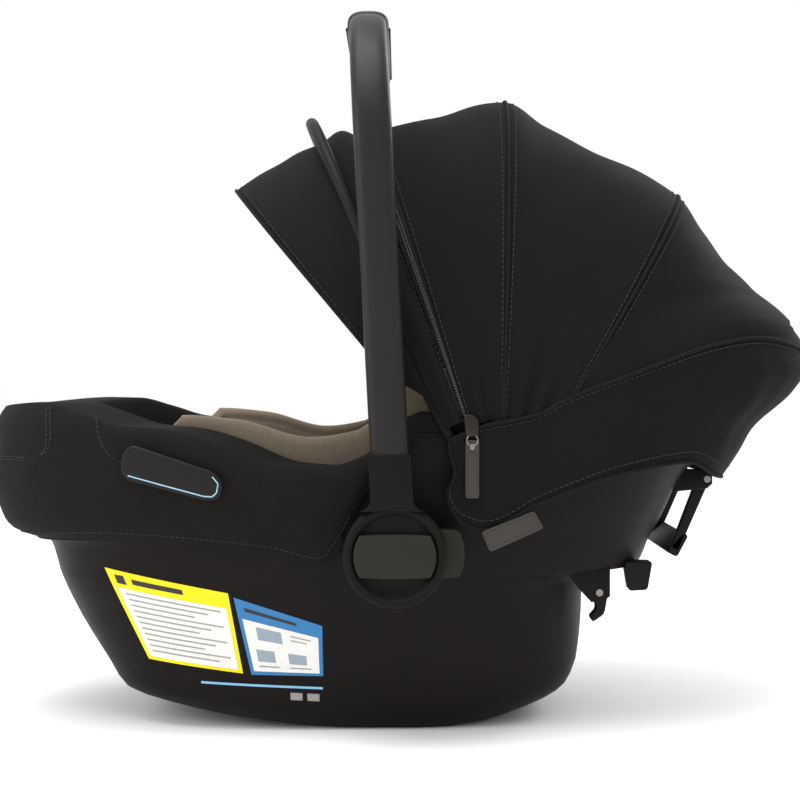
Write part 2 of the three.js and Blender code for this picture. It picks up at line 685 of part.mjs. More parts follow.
function bow(angle, eyeY, extra) {
  const reach = (extra.reach ?? along(CROWN, angle)[0]) - (extra.sink ?? 9);
  const half = 191;
  const rings = [];
  const steps = 22;
  const start = legStart(angle, 6, reach);
  for (let i = 0; i <= steps; i++) {
    const part = i / steps;
    const t = between(start, Math.PI - start, part - Math.sin(4 * Math.PI * part) / (14 * Math.PI));
    const ring = [];
    const thick = between(BOW.thick, extra.thick ?? BOW.thick, Math.sin(t) ** 4);
    const wide = between(BOW.wide, extra.wide ?? BOW.wide, Math.sin(t) ** 2);
    for (const [w, h] of [[-1, -1], [1, -1], [1, 1], [-1, 1]]) {
      const lift = (h * thick) / 2;
      const point = archPoint(angle, t, 0, { reach: reach + lift, half: half + lift, lean: extra.lean ?? 0 });
      const r = Math.hypot(point.x - CANOPY.x, point.z - CANOPY.z);
      const tuck = Math.max(0, Math.min(1, (75 - r) / 60)) * (half - eyeY);
      point.y -= Math.sign(point.y) * tuck;
      const turn = Math.atan2(point.z - CANOPY.z, point.x - CANOPY.x);
      point.x += (-Math.sin(turn) * w * wide) / 2;
      point.z += (Math.cos(turn) * w * wide) / 2;
      ring.push(point);
    }
    rings.push(ring);
  }
  const eyes = [];
  const holes = [];
  for (const side of [-1, 1]) {
    const [y0, y1] = [side * (eyeY - BOW.thick / 2), side * (eyeY + BOW.thick / 2)];
    eyes.push(disc(CANOPY.x, CANOPY.z, BOW.eye, y0, y1, 20));
    holes.push(disc(CANOPY.x, CANOPY.z, BOW.pin + 0.4, side * 170, side * 196, 16));
  }
  return cut(join(ringSolid(rings, false), ...eyes), ...holes);
}

const EDGE = 0.15; // degrees left open at each side of a panel
add('canopy_bow_rear', bow(BOW.rear, 178, {}), blackPlastic);
add('canopy_bow_mid', bow(BOW.mid, 182.5, {}), blackPlastic);
const frontBow = { reach: 377, sink: 5, thick: 10, wide: 10, lean: 9 };
add('canopy_bow_front', bow(BOW.front, 187, frontBow), blackPlastic);
add('canopy_panel_rear', panel(28.5, BOW.rear - EDGE, 5, 18), canopyCloth);
add('canopy_panel_mid', panel(BOW.rear + EDGE, BOW.mid - EDGE, 3, 18), canopyCloth);
add('canopy_panel_front', panel(BOW.mid + EDGE, 107.2, 3, 18, { low: () => 79 }), canopyCloth);
add('zipper_band', panel(107.4, 109.6, 1, 18, { low: () => 79 }), blackPlastic);
add('extension_fold', panel(110, 112.7, 1, 18, { low: () => 84, lean: [2, 8], inset: 0.4 }), canopyCloth);
const visorShape = { low: (part) => between(104, 140, part), lean: [9, -4] };
add('visor', panel(116.6, 128.8, 3, 18, visorShape), canopyCloth);

// ---- apron, tag and zipper pull -------------------------------------------------------------------------

function apronSheet(inset) {
  const sheet = [];
  for (const angle of evenAngles(297, 197, -1.5397, 1.5397, 26)) {
    const place = onRing(APRON_LEVELS, angle, 240);
    const x = Math.max(place.x, 36);
    const seam = heightAt(APRON_SEAM, APRON_LEVELS, angle) - 0.8;
    const hem = along(APRON_HEM, x)[0];
    const row = [];
    for (let j = 0; j <= 4; j++) row.push(onRing(APRON_LEVELS, angle, between(hem, seam, j / 4), -inset));
    sheet.push(row);
  }
  return sheet;
}
add('canopy_apron', slabSolid(apronSheet(0), apronSheet(2.6)), canopyCloth);
const apronFace = -199;
const TAG = [[65, 172], [107, 188], [114.5, 174.5], [72, 155.5]];
add('leather_tag', plate(TAG, apronFace, apronFace - 1.4), leather);

const SLIDER = [[52, 249], [62, 249], [62, 262], [58, 266], [50, 266]];
const slider = plate(SLIDER, apronFace - 0.2, apronFace - 1.8);
add('zipper_slider', slider, steel);
add('zipper_pull', plate(roundedBox(51.5, 62.5, 200, 246, 2), apronFace, apronFace - 1.4), leather);

// ---- release lever, latch and lugs at the back ----------------------------------------------------------

const leverHalf = 62;
const leverArm = [[262, 214], [272, 210], [243, 143], [236, 146]];
const leverSides = [-1, 1].map((side) => plate(leverArm, side * leverHalf, side * (leverHalf - 8), 1));
const leverGrip = plate([[247, 160], [252, 157], [242, 138], [232, 143]], -leverHalf, leverHalf, 1);
const leverBore = disc(LEVER.x, LEVER.z, LEVER.axle + 0.4, -90, 90, 16);
add('release_lever', cut(join(...leverSides, leverGrip), leverBore), blackPlastic);
add('lever_axle', disc(LEVER.x, LEVER.z, LEVER.axle, -73.5, 73.5, 16), steel);
for (const [side, name] of [[-1, 'left'], [1, 'right']]) {
  const HOOK = [[160, 118], [168, 122], [176, 112], [173, 95], [163, 88], [160, 93], [166, 99], [164, 109]];
  const hook = plate(HOOK,
    side * 96, side * 108, 1);
  add(`latch_hook_${name}`, cut(hook, disc(LATCH.x, LATCH.z, LATCH.axle + 0.4, -130, 130, 16)), blackPlastic);
  const lug = plate([[189, 140], [193, 115], [209, 116], [213, 140]], side * 94, side * 112, 1);
  add(`rear_lug_${name}`, cut(lug, shellEnvelope), blackPlastic);
}
add('latch_axle', disc(LATCH.x, LATCH.z, LATCH.axle, -122.5, 122.5, 16), steel);

export default seat;
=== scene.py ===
import math

import bmesh
import bpy
import numpy as np
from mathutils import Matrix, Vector


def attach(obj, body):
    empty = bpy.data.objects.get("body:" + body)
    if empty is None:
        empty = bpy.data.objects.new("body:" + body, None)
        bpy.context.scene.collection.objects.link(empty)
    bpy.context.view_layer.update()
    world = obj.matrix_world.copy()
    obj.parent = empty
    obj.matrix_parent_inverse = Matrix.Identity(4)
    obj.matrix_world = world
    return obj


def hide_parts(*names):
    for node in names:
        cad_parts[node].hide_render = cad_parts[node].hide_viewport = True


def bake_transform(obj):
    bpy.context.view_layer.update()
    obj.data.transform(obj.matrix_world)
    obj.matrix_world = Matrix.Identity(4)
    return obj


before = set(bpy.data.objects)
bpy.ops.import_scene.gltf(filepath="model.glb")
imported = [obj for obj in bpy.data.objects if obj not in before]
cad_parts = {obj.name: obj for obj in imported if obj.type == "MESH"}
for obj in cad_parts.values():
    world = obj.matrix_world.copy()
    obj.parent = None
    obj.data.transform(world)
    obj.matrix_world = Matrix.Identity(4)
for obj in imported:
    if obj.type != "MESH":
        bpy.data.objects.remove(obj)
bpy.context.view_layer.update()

# ==== SHELL ====
# The carrier's hull: one piece of injection-moulded polypropylene with a fine grain, 4 mm thick,
# with a curved rocker base. Lengths are in millimetres here and turned to metres as a mesh is made.

MM = 0.001
PLAN_POWER = 3.4  # the plan outline is a rounded rectangle
SHELL_LEVELS = [  # height, toe end, head end, half width
    (0, -96, 72, 112), (3.4, -134, 94, 118), (9, -176, 112, 123), (18, -216, 134, 128), (28, -244, 148, 132),
    (50, -258, 157, 138), (90, -282, 161, 146), (122, -297, 162, 153), (130, -300, 182, 155),
    (134, -301, 210, 157), (156, -308, 220, 163), (166, -333, 226, 166), (176, -340, 231, 170),
    (211, -347, 248, 178), (250, -347, 288, 184), (285, -335, 322, 186), (320, -325, 345, 186),
]
RIM = [
    (-365, 262), (-291, 269), (-261, 261), (-227, 251), (-190, 248), (-157, 240), (-100, 220), (-58, 218),
    (-26, 228), (16, 262), (60, 258), (133, 266), (194, 286), (257, 304), (300, 308), (360, 308),
]
SHELL_WALL = 4
SHELL_ROWS = [
    0, 0.8, 2, 3.4, 6, 9, 13, 18, 23, 28, 36, 48, 60, 75, 90, 105, 115, 122, 126, 130, 134, 139, 147, 153,
    157, 160, 163, 166, 170
]
SHELL_BLACK = "#14100f"


def along(table, x, column=1):
    """A smooth curve through one column of a table, without overshoot."""
    xs = np.array([row[0] for row in table], float)
    ys = np.array([row[column] for row in table], float)
    rise = np.diff(ys) / np.diff(xs)
    slope = np.concatenate([rise[:1], np.zeros(len(xs) - 2), rise[-1:]])
    both = rise[:-1] * rise[1:]
    slope[1:-1] = np.where(both > 0, 2 * both / np.where(both > 0, rise[:-1] + rise[1:], 1), 0)
    x = np.asarray(x, float)
    i = np.clip(np.searchsorted(xs, x) - 1, 0, len(xs) - 2)
    gap = xs[i + 1] - xs[i]
    t = np.clip((x - xs[i]) / gap, 0, 1)
    near = (2 * t**3 - 3 * t**2 + 1) * ys[i] + (t**3 - 2 * t**2 + t) * gap * slope[i]
    return near + (3 * t**2 - 2 * t**3) * ys[i + 1] + (t**3 - t**2) * gap * slope[i + 1]


def signed_power(x, power):
    return np.sign(x) * np.abs(x) ** power


def smooth(x):
    x = np.clip(x, 0, 1)
    return x * x * (3 - 2 * x)


def even_angles(count):
    """Angles round the plan outline that lie evenly along it, the last one meeting the first."""
    fine = np.linspace(0, 2 * math.pi, 20001)
    x = 345 * signed_power(np.cos(fine), 2 / PLAN_POWER)
    y = 186 * signed_power(np.sin(fine), 2 / PLAN_POWER)
    run = np.concatenate([[0], np.cumsum(np.hypot(np.diff(x), np.diff(y)))])
    return np.interp(np.linspace(0, run[-1], count + 1), run, fine)


def outline_point(toe, head, half, angle, z):
    x = (toe + head) / 2 + (head - toe) / 2 * signed_power(np.cos(angle), 2 / PLAN_POWER)
    y = half * signed_power(np.sin(angle), 2 / PLAN_POWER)
    return np.stack(np.broadcast_arrays(x, y, z), -1)


def on_ring(levels, angle, z, out=0.0, lift=0.0):
    """A point on a hull given by its levels, moved outwards and up."""
    toe, head, half = (along(levels, z, k) for k in (1, 2, 3))
    return outline_point(toe - out, head + out, half + out, angle, np.asarray(z) + lift)


def height_at(table, levels, angle):
    z = np.full(np.shape(angle), 250.0)
    for _ in range(8):
        z = along(table, on_ring(levels, angle, z)[..., 0])
    return z


def side_y(levels, x, z, out=0.0):
    """How far a hull's side stands from the middle plane at a place seen from the side."""
    toe, head, half = (along(levels, z, k) for k in (1, 2, 3))
    share = np.minimum(0.9999, np.abs((x - (toe + head) / 2) / ((head - toe) / 2 + out))) ** PLAN_POWER
    return (half + out) * (1 - share) ** (1 / PLAN_POWER)


def add_surface(bm, points):
    """A sheet through points[row][column], with UVs in metres along it; closing edges are welded."""
    rows, columns = points.shape[0] - 1, points.shape[1] - 1
    across = np.linalg.norm(np.diff(points, axis=1), axis=2).mean(0)
    up = np.linalg.norm(np.diff(points, axis=0), axis=2).mean(1)
    u = np.concatenate([[0], np.cumsum(across)]) * MM
    v = np.concatenate([[0], np.cumsum(up)]) * MM
    uvs = bm.loops.layers.uv.get("UVMap") or bm.loops.layers.uv.new("UVMap")
    old = set(bm.verts)
    bmesh.ops.create_grid(bm, x_segments=columns, y_segments=rows, size=1)
    made = [vert for vert in bm.verts if vert not in old]
    places = {}
    for vert in made:
        i, j = round((vert.co.x + 1) / 2 * columns), round((vert.co.y + 1) / 2 * rows)
        places[vert] = (u[i], v[j])
        vert.co = Vector(points[j, i]) * MM
    for face in {face for vert in made for face in vert.link_faces}:
        for loop in face.loops:
            loop[uvs].uv = places[loop.vert]
    bmesh.ops.remove_doubles(bm, verts=made, dist=0.00002)


def add_tube(bm, path, radius, sides=8, closed=False):
    """A round cord along a path, its ends closed."""
    path = np.asarray(path, float)
    step = np.roll(path, -1, 0) - np.roll(path, 1, 0) if closed else np.gradient(path, axis=0)
    step /= np.linalg.norm(step, axis=1)[:, None] + 1e-12
    guide = np.array([0.31, 0.22, 0.93])
    first = np.cross(step, guide)
    first /= np.linalg.norm(first, axis=1)[:, None]
    second = np.cross(step, first)
    turn = np.linspace(0, 2 * math.pi, sides + 1)
    rings = path[:, None] + radius * (
        np.cos(turn)[None, :, None] * first[:, None] + np.sin(turn)[None, :, None] * second[:, None]
    )
    if closed:
        rings = np.concatenate([rings, rings[:1]])
    else:
        ends = [np.repeat(path[k][None, None], sides + 1, 1) for k in (0, -1)]
        rings = np.concatenate([ends[0], rings, ends[1]])
    add_surface(bm, rings)


def add_stitches(bm, path, length=3.2, gap=1.4, radius=0.38):
    """A run of short sewn stitches lying along a path."""
    path = np.asarray(path, float)
    run = np.concatenate([[0], np.cumsum(np.linalg.norm(np.diff(path, axis=0), axis=1))])
    for start in np.arange(gap, run[-1] - length, length + gap):
        at = np.linspace(start, start + length, 3)
        add_tube(bm, np.stack([np.interp(at, run, path[:, k]) for k in range(3)], -1), radius, 5)


def add_plate(bm, outline, y0, y1, bevel=0.0, segments=3):
    """An outline in the X-Z plane given a thickness along Y, its edges rounded."""
    uvs = bm.loops.layers.uv.get("UVMap") or bm.loops.layers.uv.new("UVMap")
    base = [bm.verts.new((x * MM, y0 * MM, z * MM)) for x, z in outline]
    face = bm.faces.new(base)
    made = bmesh.ops.extrude_face_region(bm, geom=[face])["geom"]
    top = [item for item in made if isinstance(item, bmesh.types.BMVert)]
    bmesh.ops.translate(bm, verts=top, vec=(0, (y1 - y0) * MM, 0))
    faces = list({f for vert in base + top for f in vert.link_faces})
    bmesh.ops.recalc_face_normals(bm, faces=faces)
    if bevel:
        edges = list({e for f in faces for e in f.edges if len({round(v.co.y, 7) for v in e.verts}) == 1})
        bmesh.ops.bevel(
            bm, geom=edges, offset=bevel * MM, offset_type="OFFSET", segments=segments, affect="EDGES",
            profile=0.5, material=-1,
        )
    for face in bm.faces:
        for loop in face.loops:
            if loop[uvs].uv.length == 0:
                loop[uvs].uv = (loop.vert.co.x, loop.vert.co.z)


def rounded(x0, x1, z0, z1, r, steps=5):
    """A rectangle's outline with round corners."""
    made = []
    for cx, cz, start in (
        (x1 - r, z1 - r, 0), (x0 + r, z1 - r, 90), (x0 + r, z0 + r, 180), (x1 - r, z0 + r, 270)
    ):
        for k in range(steps + 1):
            turn = math.radians(start + 90 * k / steps)
            made.append((cx + r * math.cos(turn), cz + r * math.sin(turn)))
    return made


def push(points, amount, away=(20, 0, 200)):
    """Moves a surface's points along its normals, away from a place inside it."""
    du, dv = np.gradient(points, axis=1), np.gradient(points, axis=0)
    normal = np.cross(du, dv)
    normal /= np.linalg.norm(normal, axis=2)[..., None] + 1e-9
    facing = np.sign((normal * (points - np.array(away))).sum(2))[..., None]
    return points + normal * np.where(facing == 0, 1, facing) * np.asarray(amount)[..., None]


def piece(
    name, bm, material, body, stands_for=(), inward=False, centre=(20, 0, 200), closed=False
):
    """Turns a mesh in the making into a named, smooth piece that rides on a CAD body."""
    if closed:
        bmesh.ops.recalc_face_normals(bm, faces=bm.faces)
    else:
        middle = Vector(centre) * MM
        lean_out = sum(f.normal.dot(f.calc_center_median() - middle) * f.calc_area() for f in bm.faces)
        if (lean_out < 0) != inward:
            bmesh.ops.reverse_faces(bm, faces=bm.faces)
    mesh = bpy.data.meshes.new(name)
    bm.to_mesh(mesh)
    bm.free()
    mesh.shade_smooth()
    obj = bpy.data.objects.new(name, mesh)
    bpy.context.scene.collection.objects.link(obj)
    mesh.materials.append(material)
    if body:
        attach(obj, body)
    if stands_for:
        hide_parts(*stands_for)
    return obj


def thicken(obj, thickness):
    made = obj.modifiers.new("Thickness", "SOLIDIFY")
    made.thickness = thickness * MM
    made.offset = -1
    made.use_even_offset = False
    return obj


def sharpen(obj, degrees=35):
    """Flat faces meet in crisp edges instead of being shaded round."""
    obj.data.set_sharp_from_angle(angle=math.radians(degrees))
    return obj


def linear(code):
    """An sRGB hex colour as the linear colour that a shader takes."""
    parts = [int(code[i : i + 2], 16) / 255 for i in (1, 3, 5)]
    return [c / 12.92 if c <= 0.04045 else ((c + 0.055) / 1.055) ** 2.4 for c in parts] + [1]


def shade(code, factor):
    return [c * factor for c in linear(code)[:3]] + [1]


def put(tree, kind, wires=None, **settings):
    """Adds a node, sets it up and joins its inputs, each a value or another node's output."""
    node = tree.nodes.new(kind)
    for key, value in settings.items():
        setattr(node, key, value)
    for socket, value in (wires or {}).items():
        if isinstance(value, bpy.types.NodeSocket):
            tree.links.new(value, node.inputs[socket])
        else:
            node.inputs[socket].default_value = value
    return node


def mixed(tree, factor, a, b):
    return put(tree, "ShaderNodeMix", {0: factor, 6: a, 7: b}, data_type="RGBA").outputs[2]


def spread(tree, value, low, high):
    """Turns a texture's 0 to 1 into a range of values."""
    return put(tree, "ShaderNodeMapRange", {0: value, 3: low, 4: high}).outputs[0]


def new_material(name):
    material = bpy.data.materials.new(name)
    material.use_nodes = True
    tree = material.node_tree
    return material, tree, tree.nodes["Principled BSDF"]


def plastic(name, code, roughness, grain=0.7, depth=0.05, specular=0.3, coat=0.0):
    """Moulded plastic: a fine spark-eroded grain, with slow changes of tone and of gloss from handling."""
    material, tree, shader = new_material(name)
    place = put(tree, "ShaderNodeTexCoord").outputs["Object"]
    fine = put(
        tree, "ShaderNodeTexNoise", {"Vector": place, "Scale": 1 / (grain * MM), "Detail": 3.0}
    ).outputs[0]
    slow = put(tree, "ShaderNodeTexNoise", {"Vector": place, "Scale": 14.0, "Detail": 4.0}).outputs[0]
    worn = put(tree, "ShaderNodeTexNoise", {"Vector": place, "Scale": 55.0, "Detail": 6.0}).outputs[0]
    tree.links.new(mixed(tree, slow, shade(code, 0.86), shade(code, 1.16)), shader.inputs["Base Color"])
    tree.links.new(spread(tree, worn, roughness - 0.07, roughness + 0.09), shader.inputs["Roughness"])
    bump = put(tree, "ShaderNodeBump", {"Height": fine, "Distance": depth * MM, "Strength": 0.8})
    tree.links.new(bump.outputs[0], shader.inputs["Normal"])
    shader.inputs["Specular IOR Level"].default_value = specular
    shader.inputs["Coat Weight"].default_value = coat
    shader.inputs["Coat Roughness"].default_value = 0.25
    return material


# Moulded polypropylene, black with a warm cast.
shell_plastic = plastic("moulded polypropylene, shell", SHELL_BLACK, 0.5, specular=0.09)

AROUND = even_angles(224)
shell_rim = height_at(RIM, SHELL_LEVELS, AROUND)
base_rows = [
    outline_point(-12 - 84 * k, -12 + 84 * k, 112 * k, AROUND, 0.0) for k in (0, 0.35, 0.7, 0.92)
]
side_rows = [on_ring(SHELL_LEVELS, AROUND, np.full(len(AROUND), float(z))) for z in SHELL_ROWS]
upper_rows = [on_ring(SHELL_LEVELS, AROUND, 176 + (shell_rim - 176) * k) for k in np.linspace(0, 1, 18)]
bm = bmesh.new()
add_surface(bm, np.array(base_rows + side_rows + upper_rows))
thicken(piece("shell_hull", bm, shell_plastic, "shell", ["shell"]), SHELL_WALL)

# Brackets for the latch and lever axles stand out of the back of the hull in the same moulding.
bm = bmesh.new()
for side in (-1, 1):
    add_plate(
        bm, [
            (138, 134), (176, 136), (176, 112), (170, 107), (160, 107), (150, 118)
        ], side * 116, side * 122, 1.2
    )
    add_plate(
        bm, [
            (240, 216), (266, 215.5), (270.5, 211), (270.5, 203), (266, 199), (236, 196)
        ], side * 67, side * 73, 1.2
    )
sharpen(piece("shell_brackets", bm, shell_plastic, "shell", closed=True))

# ==== LABELS ====
# Two printed labels on the hull's near side, with plain blocks and bars in place of print, and a thin
# guide line in light blue with two small marks. They are film stickers, laid on the grain.

LABEL_YELLOW = "#e8d400"
LABEL_BLUE = "#2f73a8"
LABEL_LINE = "#7fb4d6"
LABEL_PAPER = "#dedcd8"
LABEL_INK = "#2a2a28"
LABEL_GREY = "#98958f"
LABEL_SLATE = "#8d9aa5"


def printed(name, code):
    """Printed label film: smooth, slightly glossy, with a faint uneven ink."""
    material, tree, shader = new_material(name)
    place = put(tree, "ShaderNodeTexCoord").outputs["Object"]
    ink = put(tree, "ShaderNodeTexNoise", {"Vector": place, "Scale": 260.0, "Detail": 3.0}).outputs[0]
    tree.links.new(mixed(tree, ink, shade(code, 0.9), shade(code, 1.06)), shader.inputs["Base Color"])
    shader.inputs["Roughness"].default_value = 0.42
    shader.inputs["Specular IOR Level"].default_value = 0.3
    return material


def add_patch(bm, corners, levels=None, out=0.5, steps=10, side=-1):
    """A four-cornered patch laid on a hull's side; the corners go round it from the upper left."""
    (ax, az), (bx, bz), (cx, cz), (dx, dz) = corners
    u, v = np.meshgrid(np.linspace(0, 1, steps + 1), np.linspace(0, 1, steps + 1))
    x = (1 - v) * ((1 - u) * ax + u * bx) + v * ((1 - u) * dx + u * cx)
    z = (1 - v) * ((1 - u) * az + u * bz) + v * ((1 - u) * dz + u * cz)
    y = side * (side_y(levels or SHELL_LEVELS, x, z) + out)
    add_surface(bm, np.stack([x, y, z], -1))


def inside_quad(corners, u0, u1, v0, v1):
    """The corners of a part of a four-cornered patch, given as shares of its width and height."""
    (ax, az), (bx, bz), (cx, cz), (dx, dz) = corners
    made = []
    for u, v in ((u0, v0), (u1, v0), (u1, v1), (u0, v1)):
        x = (1 - v) * ((1 - u) * ax + u * bx) + v * ((1 - u) * dx + u * cx)
        z = (1 - v) * ((1 - u) * az + u * bz) + v * ((1 - u) * dz + u * cz)
        made.append((x, z))
    return made


yellow_label = [(-245, 138), (-141, 118.5), (-130, 50), (-210, 60)]
blue_label = [(-136.5, 115), (-64, 91), (-63.5, 48), (-123, 49)]
yellow_sheet = inside_quad(yellow_label, 0.04, 0.96, 0.2, 0.96)
blue_sheet = inside_quad(blue_label, 0.05, 0.95, 0.26, 0.95)
label_parts = [
    ("label_yellow", LABEL_YELLOW, 0.5, [yellow_label]),
    ("label_blue", LABEL_BLUE, 0.5, [blue_label]),
    ("label_paper", LABEL_PAPER, 0.7, [yellow_sheet, blue_sheet]),
    ("label_ink", LABEL_INK, 0.7, [
        inside_quad(yellow_label, 0.06, 0.14, 0.05, 0.15), inside_quad(yellow_label, 0.2, 0.62, 0.07, 0.13),
        inside_quad(blue_label, 0.1, 0.7, 0.1, 0.15),
    ]),
    ("label_bars", LABEL_GREY, 0.9, [
        inside_quad(
            yellow_sheet, 0.06, 0.94 - 0.13 * (k % 3), 0.06 + 0.083 * k, 0.085 + 0.083 * k
        ) for k in range(11)
    ] + [
        inside_quad(blue_sheet, 0.62, 0.9, 0.12, 0.15), inside_quad(blue_sheet, 0.62, 0.84, 0.22, 0.25),
        inside_quad(blue_sheet, 0.1, 0.4, 0.88, 0.91), inside_quad(blue_sheet, 0.56, 0.88, 0.88, 0.91),
    ]),
    ("label_pictures", LABEL_SLATE, 0.9, [
        inside_quad(blue_sheet, 0.16, 0.5, 0.1, 0.36), inside_quad(blue_sheet, 0.1, 0.36, 0.56, 0.8),
        inside_quad(blue_sheet, 0.56, 0.82, 0.56, 0.8),
    ]),
    ("guide_line", LABEL_LINE, 0.4, [[(-165.6, 42.6), (-64, 38.4), (-64, 36.4), (-165.6, 40.6)]]),
    ("guide_marks", "#8f8c8a", 0.4, [
        [(-91, 33.5), (-81, 33), (-81, 26.5), (-91, 27)], [
            (-77, 32.8), (-67, 32.3), (-67, 25.8), (-77, 26.3)
        ],
    ]),
]
for name, code, out, patches in label_parts:
    bm = bmesh.new()
    for corners in patches:
        add_patch(bm, corners, out=out)
    piece(name, bm, printed("printed film, " + name.replace("_", " "), code), "shell")

# ==== FOAM LINER AND SEAT PAD ====
# The crushable liner is expanded polystyrene, beaded and off-white, and fits inside the hull. The seat
# pad over it is thin foam under knitted polyester, and shows only round the edge of the insert.

SEAT_LEVELS = [  # height, toe end, head end, half width
    (88, -95, 30, 85), (100, -148, 46, 112), (130, -205, 88, 132), (170, -245, 143, 145),
    (210, -274, 198, 153),
    (250, -298, 250, 158), (290, -304, 296, 162), (320, -304, 320, 163),
]
COVER_BLACK = "#171514"
THREAD_GREY = "#3a3735"
WAVE_PITCH = math.pi / 10  # a wave texture of scale 1 repeats at this length


def bulges(shape, *waves):
    """A sum of soft waves over a grid, each as height, turns across, turns up and a start."""
    v, u = np.meshgrid(np.linspace(0, 1, shape[0]), np.linspace(0, 1, shape[1]), indexing="ij")
    return sum(h * np.sin(2 * math.pi * (a * u + b * v) + start) for h, a, b, start in waves)


def seat_point(angle, z, depth=0.0):
    """A point of the seat's bowl, raised off the liner by a depth of padding."""
    toe, head, half = (along(SEAT_LEVELS, z, k) for k in (1, 2, 3))
    x_toe, x_head = toe + 0.75 * depth, head - 0.665 * depth
    return outline_point(x_toe, x_head, half - depth, angle, np.asarray(z) + 0.75 * depth)


def cloth(name, code, thread, roughness=0.88, sheen=0.3, fleck=0.14, depth=0.22, on_uv=True, specular=0.12):
    """Woven cloth: crossed threads, a fleck along them and slow changes of tone where it is rubbed."""
    material, tree, shader = new_material(name)
    coords = put(tree, "ShaderNodeTexCoord").outputs
    threads = coords["UV"] if on_uv else coords["Object"]
    pitch = WAVE_PITCH / (thread * MM)
    warp = put(
        tree, "ShaderNodeTexWave", {
            "Vector": threads, "Scale": pitch, "Distortion": 0.6
        }, bands_direction="X"
    ).outputs["Fac"]
    weft = put(
        tree, "ShaderNodeTexWave", {"Vector": threads, "Scale": pitch, "Distortion": 0.6},
        bands_direction="Y" if on_uv else "Z",
    ).outputs["Fac"]
    weave = put(tree, "ShaderNodeMath", {0: warp, 1: weft}, operation="MULTIPLY").outputs[0]
    stretched = put(tree, "ShaderNodeMapping", {"Vector": threads, "Scale": (1.0, 0.18, 1.0)}).outputs[0]
    strand = put(
        tree, "ShaderNodeTexNoise", {"Vector": stretched, "Scale": 1 / (1.6 * thread * MM), "Detail": 4.0}
    ).outputs[0]
    rubbed = put(
        tree, "ShaderNodeTexNoise", {"Vector": coords["Object"], "Scale": 16.0, "Detail": 5.0}
    ).outputs[0]
    tone = put(tree, "ShaderNodeMath", {0: strand, 1: rubbed}, operation="MULTIPLY").outputs[0]
    light = mixed(tree, tone, shade(code, 1 - 2 * fleck), shade(code, 1 + 5 * fleck))
    tree.links.new(
        mixed(tree, spread(tree, weave, 0.0, 0.35), light, shade(code, 0.62)), shader.inputs["Base Color"]
    )
    bump = put(tree, "ShaderNodeBump", {"Height": weave, "Distance": depth * MM, "Strength": 0.55})
    soft = put(
        tree, "ShaderNodeBump", {
            "Height": rubbed, "Distance": 1.2 * MM, "Strength": 0.35, "Normal": bump.outputs[0]
        }
    )
    tree.links.new(soft.outputs[0], shader.inputs["Normal"])
    tree.links.new(
        spread(tree, rubbed, roughness - 0.06, min(1.0, roughness + 0.06)), shader.inputs["Roughness"]
    )
    shader.inputs["Specular IOR Level"].default_value = specular
    shader.inputs["Sheen Weight"].default_value = sheen
    shader.inputs["Sheen Roughness"].default_value = 0.5
    shader.inputs["Sheen Tint"].default_value = shade(code, 6.0)
    return material


# Expanded polystyrene: small fused beads.
foam_white, foam_tree, foam_shader = new_material("expanded polystyrene")
beads = put(
    foam_tree, "ShaderNodeTexVoronoi",
    {"Vector": put(foam_tree, "ShaderNodeTexCoord").outputs["Object"], "Scale": 260.0},
).outputs["Distance"]
foam_tree.links.new(
    mixed(foam_tree, beads, linear("#e9e7e0"), linear("#c9c7c0")), foam_shader.inputs["Base Color"]
)
foam_shader.inputs["Roughness"].default_value = 0.8
bpy.data.objects["foam_liner"].data.materials.clear()
bpy.data.objects["foam_liner"].data.materials.append(foam_white)

# Knitted polyester over thin foam.
cover_cloth = cloth("woven polyester, black cover", COVER_BLACK, 0.9, sheen=0.14)
thread = cloth("sewing thread, dark grey", THREAD_GREY, 0.3, sheen=0.2, on_uv=True)

CIRCLE = even_angles(144)
pad_top = height_at(RIM, SHELL_LEVELS, CIRCLE) - 34
FLOOR = 88
rows = []
for depth, steps in ((7.2, np.linspace(0, 1, 18)), (1.9, np.linspace(1, 0, 10))):
    wall = [seat_point(CIRCLE, FLOOR + (pad_top - FLOOR) * k, depth) for k in steps]
    floor = [
        outline_point((-95 + 0.75 * depth) * k - 32 * (1 - k), (30 - 0.665 * depth) * k - 32 * (1 - k),
                      (85 - depth) * k, CIRCLE, FLOOR + 0.75 * depth) for k in (0.0, 0.4, 0.8)
    ]
    rows += floor + wall if depth > 2 else wall + floor[::-1]
bm = bmesh.new()
add_surface(bm, np.array(rows))
seat_pad = piece("seat_pad_soft", bm, cover_cloth, "shell", ["seat_pad"], closed=True)

# ==== SEAT COVER ====
# The padded skirt that laps over the hull's rim, woven polyester over wadding, bound at its hem with
# piping, with a separate toe panel joined by a double seam. It clips inside the bowl under the insert.

COVER_HEM = [
    (-365, 155), (-241, 163), (-109, 153), (-65, 143), (-49, 162), (-31, 198), (-20, 222), (16, 250),
    (60, 248), (133, 256), (194, 276), (257, 294), (360, 298),
]
COVER_CREST = 6.0


def cover_out(x, z):
    """How far the cover's face stands off the hull."""
    rim, hem = along(RIM, x), along(COVER_HEM, x)
    share = np.clip((z - hem) / np.maximum(rim - hem, 1), 0, 1)
    full = 1.8 + 5.0 * smooth((-8 - x) / 34)
    return 1.4 + full * (0.25 + 0.75 * np.sin(math.pi * (0.04 + 0.92 * share)) ** 0.5)


def on_cover(x, z, side=-1, lift=0.0):
    x, z = np.asarray(x, float), np.asarray(z, float)
    y = side * side_y(SHELL_LEVELS, x, z, cover_out(x, z) + lift)
    return np.stack([x, y, z], -1)


